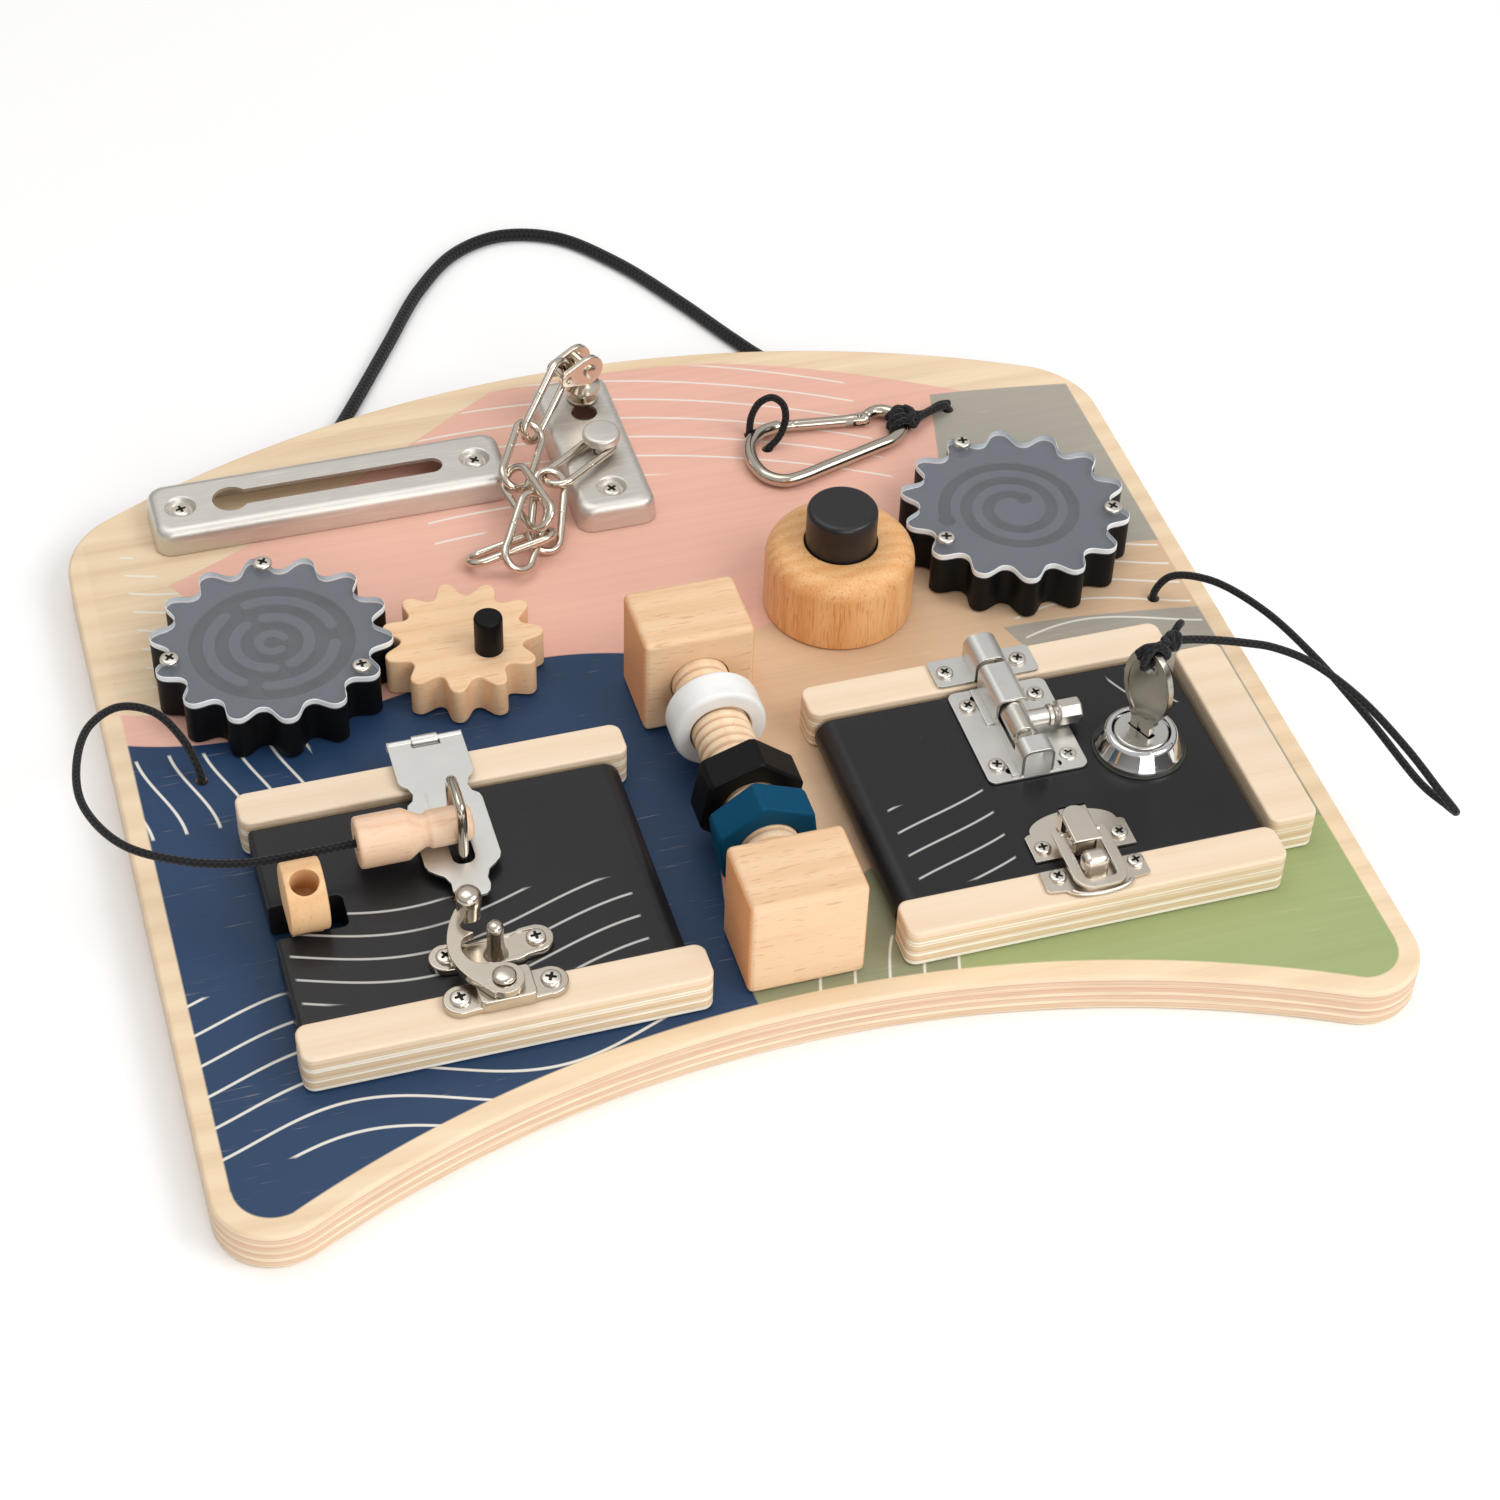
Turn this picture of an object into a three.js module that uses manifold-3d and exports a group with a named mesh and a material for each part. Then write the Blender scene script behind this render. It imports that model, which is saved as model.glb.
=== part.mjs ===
// Latch board: a wooden activity board with doors, latches, gears, nuts, a lock,
// a push button, a chain set and a snap hook. Millimetres, +Z up, +Y to the back.
import * as THREE from 'three';
import { mergeVertices } from 'three/addons/utils/BufferGeometryUtils.js';
import Module from 'manifold-3d';

const wasm = await Module();
wasm.setup();

// ---- driving dimensions -------------------------------------------------------
const BOARD_T = 14;            // plywood thickness
const GAP = 0.3;               // gap between touching pieces
const ON = BOARD_T + GAP;      // underside of everything that sits on the board
const HALF_W = 177.5;          // half width of the board
const RAIL_TOP = 28;
const DOOR_Z0 = 14.4, DOOR_Z1 = 26.4;
const DOOR_Y0 = -110.9, DOOR_Y1 = -33.2;
const HINGE_Z = 20.4, HINGE_R = 6;
const LD_X0 = -143.8, LD_HINGE = -37.5;      // left door
const RD_X1 = 145.4, RD_HINGE = 36.5;        // right door
const PIN_R = 2.8;
const SPINDLE_Z = 32, SPINDLE_R = 9;
const BIG_N = 14, BIG_TIP = 37.5, BIG_ROOT = 31.5;
const SMALL_N = 11, SMALL_TIP = 25.3, SMALL_ROOT = 19.3;
const LG = [-122.0, 42.3], RG = [123.3, 43.0], SG = [-64.6, 30.3];
const LG_TIP = 10.8, RG_TIP = 1.0, SG_TIP = 90.3;   // degrees
const GEAR_Z0 = 14.5, GEAR_Z1 = 28.7, COVER_Z0 = 28.9, COVER_Z1 = 31.0;
const BTN = [58.8, 30.3];
const LATCH = [-133.75, -71.25];
const PEG_Y = -56.75, PEG_Z = 37;
const HASP_X = -86.4, HASP_PIN_Y = -13.4, HASP_PIN_Z = 29.9;
const HOOK_PIVOT = [-86.5, -116.2];
const BOLT_X = 87.8, BOLT_Z = 32.3, BOLT_R = 4.0;
const LOCK = [122.3, -69.25];
const KEY_ANG = Math.atan2(-0.92, 0.39);
const TOG_X = 89.6, TOG_P = [-106.0, 31.3], TOG_Q = [-102.5, 31.3];
const STUD = [1.9, 112.0];
const RIVET = [3.0, 141.5, 37.5];
const CLEVIS_TURN = 201.2;
const LINK_L = 32, LINK_W = 12.5, LINK_D = 2.4;
const CORD_D = 2.5, HANG_D = 4.2;

// ---- helpers ------------------------------------------------------------------
const rad = (d) => d * Math.PI / 180;
function solid(geo) {
  let g = geo.clone();
  for (const n of ['normal', 'uv', 'uv1', 'color']) if (g.getAttribute(n)) g.deleteAttribute(n);
  g = mergeVertices(g, 1e-4);
  const p = Float32Array.from(g.getAttribute('position').array);
  const src = g.index.array, t = [];
  for (let i = 0; i < src.length; i += 3) {
    const a = src[i], b = src[i + 1], c = src[i + 2];
    if (a !== b && b !== c && a !== c) t.push(a, b, c);
  }
  return new wasm.Manifold(new wasm.Mesh({ numProp: 3, vertProperties: p, triVerts: Uint32Array.from(t) }));
}
const place = (geo, m) => { geo.applyMatrix4(m); return geo; };
const T = (x, y, z) => new THREE.Matrix4().makeTranslation(x, y, z);
const RX = (d) => new THREE.Matrix4().makeRotationX(rad(d));
const RY = (d) => new THREE.Matrix4().makeRotationY(rad(d));
const RZ = (d) => new THREE.Matrix4().makeRotationZ(rad(d));
const mul = (...ms) => ms.reduce((a, b) => a.clone().multiply(b));

function box(x0, x1, y0, y1, z0, z1) {
  return solid(place(new THREE.BoxGeometry(x1 - x0, y1 - y0, z1 - z0), T((x0 + x1) / 2, (y0 + y1) / 2, (z0 + z1) / 2)));
}
// cylinder along Z, X or Y
function cyl(axis, r, a, b, lo, hi, seg = 24, r2 = r) {
  const g = new THREE.CylinderGeometry(r2, r, hi - lo, seg);
  if (axis === 'z') { place(g, RX(90)); place(g, T(a, b, (lo + hi) / 2)); }
  if (axis === 'y') { place(g, T(a, (lo + hi) / 2, b)); }
  if (axis === 'x') { place(g, RZ(-90)); place(g, T((lo + hi) / 2, a, b)); }
  return solid(g);
}
// lathe about Z from [r, z] points
function turn(pts, x, y, seg = 32, m = null) {
  const g = new THREE.LatheGeometry(pts.map((p) => new THREE.Vector2(p[0], p[1])), seg);
  place(g, RX(90));
  if (m) place(g, m);
  place(g, T(x, y, 0));
  return solid(g);
}
function shapeOf(pts) { return new THREE.Shape(pts.map((p) => new THREE.Vector2(p[0], p[1]))); }
function arc(cx, cy, r, a0, a1, n) {
  const p = [];
  for (let i = 0; i <= n; i++) { const a = rad(a0 + (a1 - a0) * i / n); p.push([cx + r * Math.cos(a), cy + r * Math.sin(a)]); }
  return p;
}
function rrect(x0, x1, y0, y1, r, n = 3) {
  return shapeOf([...arc(x1 - r, y0 + r, r, -90, 0, n), ...arc(x1 - r, y1 - r, r, 0, 90, n),
    ...arc(x0 + r, y1 - r, r, 90, 180, n), ...arc(x0 + r, y0 + r, r, 180, 270, n)]);
}
// upright prism; bev rounds both ends inside the outline
function prism(shape, z0, z1, bev = 0, bseg = 2, curve = 6, bh = bev) {
  const o = bev > 0
    ? { depth: z1 - z0 - 2 * bh, bevelEnabled: true, bevelThickness: bh, bevelSize: bev, bevelOffset: -bev, bevelSegments: bseg, curveSegments: curve }
    : { depth: z1 - z0, bevelEnabled: false, curveSegments: curve };
  const g = new THREE.ExtrudeGeometry(shape, o);
  place(g, T(0, 0, z0 + (bev > 0 ? bh : 0)));
  return g;
}
// prism of an (x, z) profile along Y
function prismY(shape, y0, y1, bev = 0, bseg = 1) {
  const g = prism(shape, -y1, -y0, bev, bseg);
  return place(g, RX(90));
}
// prism of a (y, z) profile along X
function prismX(shape, x0, x1, bev = 0, bseg = 1) {
  const g = prism(shape, x0, x1, bev, bseg);
  return place(g, new THREE.Matrix4().set(0, 0, 1, 0, 1, 0, 0, 0, 0, 1, 0, 0, 0, 0, 0, 1));
}
function disc(r, n) {
  const p = [];
  for (let i = 0; i < n; i++) p.push([r * Math.cos(2 * Math.PI * i / n), r * Math.sin(2 * Math.PI * i / n)]);
  return shapeOf(p);
}
function tube(points, d, sides, steps) {
  const path = new THREE.CatmullRomCurve3(points.map((p) => new THREE.Vector3(...p)), false, 'centripetal');
  return solid(new THREE.ExtrudeGeometry(disc(d / 2, sides), { steps, bevelEnabled: false, extrudePath: path }));
}
function gearShape(n, tip, root, phase, power, per = 5) {
  const p = [];
  for (let i = 0; i < n * per; i++) {
    const a = 2 * Math.PI * i / (n * per);
    const u = (Math.cos(n * a) * 0.5 + 0.5) ** power;
    const r = root + (tip - root) * u;
    p.push([r * Math.cos(a + rad(phase)), r * Math.sin(a + rad(phase))]);
  }
  return shapeOf(p);
}
function ringArc(r0, r1, a0, a1, n = 16) {
  const p = [];
  for (let i = 0; i <= n; i++) { const a = rad(a0 + (a1 - a0) * i / n); p.push([r1 * Math.cos(a), r1 * Math.sin(a)]); }
  for (let i = n; i >= 0; i--) { const a = rad(a0 + (a1 - a0) * i / n); p.push([r0 * Math.cos(a), r0 * Math.sin(a)]); }
  return shapeOf(p);
}

const root = new THREE.Group();
root.name = 'latch_board';
const COLORS = {
  birch: [0xe1c8a0, 0.6, 0], beech: [0xd9ae7c, 0.55, 0], black: [0x2a292b, 0.35, 0], steel: [0xb9b7b2, 0.32, 1],
  chrome: [0xd8d8d8, 0.1, 1], white: [0xf2f2ef, 0.4, 0], blue: [0x005578, 0.4, 0], clear: [0xc9d2d8, 0.1, 0],
  cord: [0x17171a, 0.9, 0], plastic: [0x1c1c1e, 0.4, 0],
};
function add(name, man, kind) {
  const mesh = man.getMesh();
  const g = new THREE.BufferGeometry();
  g.setAttribute('position', new THREE.BufferAttribute(Float32Array.from(mesh.vertProperties), 3));
  g.setIndex(new THREE.BufferAttribute(Uint32Array.from(mesh.triVerts), 1));
  g.computeVertexNormals();
  const [color, roughness, metalness] = COLORS[kind];
  const m = new THREE.Mesh(g, new THREE.MeshStandardMaterial({ color, roughness, metalness }));
  m.name = name;
  root.add(m);
}

// ---- board --------------------------------------------------------------------
function boardShape() {
  const fr = 18, br = 30;
  const fcx = HALF_W - fr, fcy = -152.55, bcx = HALF_W - br, bcy = 104.55;
  const R1 = 342, c1 = -475.05, R2 = 350, c2 = -179.45;
  const dirTo = (ax, ay, bx, by) => Math.atan2(by - ay, bx - ax) * 180 / Math.PI;
  const aF = dirTo(0, c1, fcx, fcy);          // front arc meets the front corners
  const aB = dirTo(0, c2, bcx, bcy);          // back arc meets the back corners
  const join = (...lists) => {
    const o = [];
    for (const q of lists.flat()) {
      const l = o[o.length - 1];
      if (!l || Math.hypot(l[0] - q[0], l[1] - q[1]) > 1e-3) o.push(q);
    }
    return o;
  };
  return shapeOf(join(arc(bcx, bcy, br, 0, aB, 6), arc(0, c2, R2, aB, 180 - aB, 16), arc(-bcx, bcy, br, 180 - aB, 180, 6),
    arc(-fcx, fcy, fr, 180, 360 - aF, 7), arc(0, c1, R1, 180 - aF, aF, 16), arc(fcx, fcy, fr, aF - 180, 0, 7)));
}
const CORD_HOLES = [[-152, 2.75], [158.6, 4.75], [56.0, 118.4], [59.6, 109.8], [126.3, 114.3]];
const HANG_L = [-80, 161.4], HANG_R = [82, 160.9];
let board = solid(prism(boardShape(), 0, BOARD_T, 1.0, 1));
for (const [x, y] of CORD_HOLES) board = board.subtract(cyl('z', 2.0, x, y, 4, 15, 8));
for (const [x, y] of [HANG_L, HANG_R]) board = board.subtract(cyl('y', 3.0, x, 6.5, y - 12, y + 6, 10));
board = board.add(cyl('z', 4, LG[0], LG[1], 13, 23, 12)).add(cyl('z', 4, RG[0], RG[1], 13, 23, 12)).add(cyl('z', 3, SG[0], SG[1], 13, 21, 12));
add('board', board, 'birch');

// ---- rails --------------------------------------------------------------------
function rail(x0, x1, y0, y1) { return solid(prism(rrect(x0, x1, y0, y1, 3.5), ON, RAIL_TOP, 0.7, 1, 3)); }
const hole = (x, y0, y1) => cyl('y', PIN_R + 0.3, x, HINGE_Z, y0, y1, 16);
add('rail_left_back', rail(-145.4, -27.8, -32.3, -19.2).subtract(hole(LD_HINGE, -33, -28)), 'birch');
add('rail_left_front', rail(-145.4, -27.8, -125.3, -111.5).subtract(hole(LD_HINGE, -116, -111)), 'birch');
add('rail_right_back', rail(29.6, 147.6, -32.3, -19.2).subtract(hole(RD_HINGE, -33, -28)), 'birch');
add('rail_right_front', rail(29.6, 147.6, -125.3, -111.5).subtract(hole(RD_HINGE, -116, -111)), 'birch');
add('side_strip', solid(prism(rrect(147.9, 163.2, -111.1, -33.4, 3), ON, RAIL_TOP, 0.7, 1, 4))
  .subtract(box(147, 152, -82.2, -64.6, 14, 18.3)), 'birch');

// ---- spindle and nuts ----------------------------------------------------------
function roundBox(x0, x1, y0, y1, z0, z1, r) { return solid(prism(rrect(x0, x1, y0, y1, r + 0.7, 2), z0, z1, r, 1)); }
const bore = (y0, y1) => cyl('y', SPINDLE_R + 0.4, 0, SPINDLE_Z, y0, y1, 20);
add('block_front', roundBox(-17.5, 17.5, -123.25, -96.85, ON, 49.8, 1.8).subtract(bore(-105, -96)), 'beech');
add('block_back', roundBox(-17.5, 17.5, -12.35, 13.75, ON, 49.8, 1.8).subtract(bore(-13, -4)), 'beech');
{
  const p = [[0, -104.6]];
  p.push([SPINDLE_R, -104.6], [SPINDLE_R, -96.2]);
  const pitch = 5.2, n = 16, start = -96.2;
  for (let i = 0; i < n; i++) {
    const y = start + i * pitch;
    p.push([7.8, y + pitch * 0.42], [SPINDLE_R, y + pitch]);
  }
  p.push([SPINDLE_R, -4.4], [0, -4.4]);
  const g = new THREE.LatheGeometry(p.map((q) => new THREE.Vector2(q[0], q[1])), 10);
  place(g, T(0, 0, SPINDLE_Z));
  add('spindle', solid(g), 'beech');
}
const nutBore = (y0, y1) => cyl('y', SPINDLE_R + 0.45, 0, SPINDLE_Z, y0 - 1, y1 + 1, 20);
function hexNut(y0, y1, af, turnDeg) {
  const rc = af / Math.sqrt(3), p = [];
  for (let i = 0; i < 6; i++) {
    for (const d of [-5, 0, 5]) {
      const a = rad(turnDeg + 60 * i + d);
      const k = d === 0 ? 0.972 : 0.948;
      p.push([rc * k * Math.cos(a), rc * k * Math.sin(a)]);
    }
  }
  const g = prismY(shapeOf(p), y0, y1, 1.0, 1);
  place(g, T(0, 0, SPINDLE_Z));
  return solid(g).subtract(nutBore(y0, y1));
}
{
  const r = 14.6, a = -35.0, b = -23.75, c = 1.2;
  const p = [[0, a], [r - c, a], [r, a + c], [r, b - c], [r - c, b], [0, b]];
  const g = new THREE.LatheGeometry(p.map((q) => new THREE.Vector2(q[0], q[1])), 28);
  place(g, T(0, 0, SPINDLE_Z));
  add('nut_white', solid(g).subtract(nutBore(a, b)), 'white');
}
add('nut_black', hexNut(-67.75, -55.75, 29.4, 80), 'plastic');
add('nut_blue', hexNut(-85.25, -73.75, 29.4, 37), 'blue');

// ---- gears ---------------------------------------------------------------------
function moveTo(geo, c) { return place(geo, T(c[0], c[1], 0)); }
let lg = solid(moveTo(prism(gearShape(BIG_N, BIG_TIP, BIG_ROOT, LG_TIP, 1.15), GEAR_Z0, GEAR_Z1), LG));
lg = lg.subtract(cyl('z', 4.3, LG[0], LG[1], 14, 23.6, 16));
for (const [r0, r1, a0, a1] of [[21.4, 25.6, 20, 190], [21.4, 25.6, 206, 352], [13.4, 17.6, -60, 120], [13.4, 17.6, 140, 282], [5.6, 9.6, 60, 330]]) {
  lg = lg.subtract(solid(moveTo(prism(ringArc(r0, r1, a0, a1, 8), 25.6, 29.5), LG)));
}
for (const [r0, r1, a] of [[17, 22, 30], [9, 14, 150], [17, 22, 250]]) {
  lg = lg.subtract(solid(place(prism(shapeOf([[r0, -2], [r1, -2], [r1, 2], [r0, 2]]), 25.6, 29.4), mul(T(LG[0], LG[1], 0), RZ(a)))));
}
add('left_gear', lg, 'plastic');
let rg = solid(moveTo(prism(gearShape(BIG_N, BIG_TIP, BIG_ROOT, RG_TIP, 1.15), GEAR_Z0, GEAR_Z1), RG));
rg = rg.subtract(cyl('z', 4.3, RG[0], RG[1], 14, 23.6, 16));
{
  const outer = [], inner = [], n = 28;
  for (let i = 0; i <= n; i++) {
    const t = i / n, a = rad(40 + 860 * t), r = 6.2 + 17.2 * t;
    outer.push([(r + 2) * Math.cos(a), (r + 2) * Math.sin(a)]);
    inner.push([(r - 2) * Math.cos(a), (r - 2) * Math.sin(a)]);
  }
  // the two ends of the spiral are rounded by pockets
  rg = rg.subtract(solid(moveTo(prism(shapeOf(outer.concat(inner.reverse())), 25.6, 29.5), RG)));
  for (const [r, a, q] of [[6.2, 40, 2.8], [23.4, 900, 2.9]]) {
    rg = rg.subtract(cyl('z', q, RG[0] + r * Math.cos(rad(a)), RG[1] + r * Math.sin(rad(a)), 25.55, 29.4, 12));
  }
}
add('right_gear', rg, 'plastic');
add('left_gear_cover', solid(moveTo(prism(gearShape(BIG_N, BIG_TIP, BIG_ROOT, LG_TIP, 1.15), COVER_Z0, COVER_Z1), LG)), 'clear');
add('right_gear_cover', solid(moveTo(prism(gearShape(BIG_N, BIG_TIP, BIG_ROOT, RG_TIP, 1.15), COVER_Z0, COVER_Z1), RG)), 'clear');
add('small_gear', solid(moveTo(prism(gearShape(SMALL_N, SMALL_TIP, SMALL_ROOT, SG_TIP, 1.15), GEAR_Z0, 28.2, 0), SG))
  .subtract(cyl('z', 3.3, SG[0], SG[1], 14, 21.5, 16)), 'beech');
add('gear_knob', turn([[0, 28.5], [4.5, 28.5], [4.5, 40.7], [3.9, 41.4], [0, 41.4]], SG[0] + 6.8, SG[1] - 7.6, 20), 'plastic');

// ---- push button ---------------------------------------------------------------
add('button_housing', turn([[0, ON], [23.4, ON], [24, ON + 0.6], [24, 34.2], [22.8, 37.8], [18.8, 40], [0, 40]], BTN[0], BTN[1], 26)
  .subtract(cyl('z', 11.7, BTN[0], BTN[1], 19.5, 41, 24)), 'beech');
add('push_button', turn([[0, 26], [11.3, 26], [11.3, 52.4], [10.3, 53.5], [0, 53.5]], BTN[0], BTN[1], 20), 'plastic');

// ---- chain track, plate, clevis, links, stud ------------------------------------
function pressed(x0, x1, y0, y1, corner) {
  const outer = solid(prism(rrect(x0, x1, y0, y1, corner, 4), 4, 23.3, 2.6, 2, 3, 3.2)).intersect(box(x0 - 1, x1 + 1, y0 - 1, y1 + 1, ON, 30));
  const inner = solid(prism(rrect(x0 + 1.6, x1 - 1.6, y0 + 1.6, y1 - 1.6, corner - 1.4, 2), 4, 21.7, 2.0, 1, 2, 2.2)).intersect(box(x0 - 1, x1 + 1, y0 - 1, y1 + 1, 10, 30));
  return outer.subtract(inner);
}
// a dimple is a cup pressed down to the board: outer cup added, inner cup cut
function cup(body, x, y) {
  return body.add(turn([[0, ON], [3.4, ON], [4.0, 17], [5.4, 22.6], [0, 22.6]], x, y, 12)).subtract(turn([[0, 20.9], [3.7, 20.9], [5.4, 23.9], [0, 23.9]], x, y, 12));
}
let track = pressed(-148.2, -29.6, 106.5, 133.5, 5.5);
track = cup(cup(track, -138, 119.8), -39.8, 119.8);
track = track.subtract(cyl('z', 6, -121.5, 119.6, 10, 25, 18)).subtract(box(-121.5, -54.5, 115.9, 123.3, 10, 25)).subtract(cyl('z', 3.7, -54.5, 119.6, 10, 25, 12));
add('chain_track', track, 'steel');
let plate = pressed(-13, 14, 82.8, 154.0, 5.5);
plate = cup(plate, 0.6, 94.0);
plate = plate.subtract(cyl('z', 4.4, 1.6, 133.6, 10, 25, 14)).subtract(box(-1, 4.2, 133.6, 140.5, 20, 25));
plate = plate.subtract(cyl('z', 2.7, STUD[0], STUD[1], 20, 25, 12));
add('chain_plate', plate, 'steel');
{
  const M = mul(T(...RIVET), RZ(CLEVIS_TURN));
  const cheek = () => shapeOf([...arc(0, 0, 5.2, 70, 290, 8), ...arc(8.5, 0, 2.9, -75, 75, 4)]);
  const flat = (y0, y1) => solid(place(place(prism(cheek(), -y1, -y0, 0, 1, 5), RX(90)), M));
  let c = flat(-4.3, -2.6).add(flat(2.6, 4.3));
  c = c.add(solid(place(place(new THREE.CylinderGeometry(2.4, 2.4, 10.4, 12), T(0, 0, 0)), M)));
  c = c.add(solid(place(place(new THREE.CylinderGeometry(1.6, 1.6, 8, 8), T(8.5, 0, 0)), M)));
  c = c.add(solid(place(place(place(new THREE.LatheGeometry([[0, -13.85], [5.4, -13.85], [5.4, -12.6], [2.3, -12.4], [2.3, -9.4], [6.3, -9.2], [6.3, -8.2], [3.2, -6.6], [2.3, 1], [0, 1]].map((p) => new THREE.Vector2(p[0], p[1])), 10), RX(90)), T(0, 0, 0)), M)));
  add('clevis', c, 'steel');
}
// chain links: centre, long direction, width direction
const LINKS = [
  [[-12.13, 131.38, 32.53], [-0.600, -0.600, -0.529], [0.480, 0.259, -0.838]],
  [[-24.71, 113.88, 25.64], [-0.459, -0.884, -0.092], [0.752, -0.332, -0.569]],
  [[-28.48, 91.67, 26.07], [0.168, -0.986, 0.013], [0.725, 0.133, 0.675]],
  [[-32.12, 78.85, 22.98], [-0.479, -0.846, -0.236], [0.770, -0.275, -0.576]],
  [[-37.83, 77.52, 18.90], [0.983, 0.155, 0.100], [0.095, -0.893, 0.441]],
  [[-22.47, 89.00, 21.61], [0.307, 0.875, 0.374], [-0.929, 0.190, 0.319]],
  [[-7.29, 106.16, 25.87], [0.835, 0.549, 0.028], [-0.541, 0.830, -0.135]],
];
function link(c, u, v) {
  const U = new THREE.Vector3(...u).normalize();
  const V0 = new THREE.Vector3(...v);
  const V = V0.sub(U.clone().multiplyScalar(V0.dot(U))).normalize();
  const W = new THREE.Vector3().crossVectors(U, V);
  const M = new THREE.Matrix4().makeBasis(U, V, W).setPosition(c[0], c[1], c[2]);
  const R = (LINK_W - LINK_D) / 2 + 0.1, h = (LINK_L - LINK_W) / 2, r = LINK_D / 2, k = 6;
  const ring = [];
  for (let i = 0; i <= k; i++) { const a = 2 * Math.PI * i / k; ring.push(new THREE.Vector2(R + r * Math.cos(a), r * Math.sin(a))); }
  // a round ring of wire, its two halves drawn apart into an oval link
  const g = new THREE.LatheGeometry(ring, 12, Math.PI / 12);
  place(g, RX(90));
  const p = g.getAttribute('position');
  for (let i = 0; i < p.count; i++) p.setX(i, p.getX(i) + (p.getX(i) > 0 ? h : -h));
  return solid(place(g, M));
}
LINKS.forEach((l, i) => add('chain_link_' + (i + 1), link(l[0], l[1], l[2]), 'steel'));
add('chain_stud', turn([[0, 17.6], [3.6, 17.6], [3.6, 19.4], [2.2, 19.6], [2.2, 28.6], [4.9, 28.8], [5.6, 29.6], [5.6, 31.2], [4.6, 32], [0, 32.2]], STUD[0], STUD[1], 12), 'steel');

// ---- left door -----------------------------------------------------------------
function doorProfile(xh, xe) {
  // hinge edge is a full half round about the pin; the free edge has small radii
  const r = 1.4, zm = [DOOR_Z1 - r, DOOR_Z0 + r];
  return shapeOf(xe < xh
    ? [...arc(xh, HINGE_Z, HINGE_R, -90, 90, 8), ...arc(xe + r, zm[0], r, 90, 180, 2), ...arc(xe + r, zm[1], r, 180, 270, 2)]
    : [...arc(xh, HINGE_Z, HINGE_R, 90, 270, 8), ...arc(xe - r, zm[1], r, -90, 0, 2), ...arc(xe - r, zm[0], r, 0, 90, 2)]);
}
function door(xh, xe) {
  return solid(place(prism(doorProfile(xh, xe), -DOOR_Y1, -DOOR_Y0, 0.9, 1, 5), RX(90))).add(cyl('y', PIN_R, xh, HINGE_Z, -115.6, -28.4, 16));
}
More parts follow.
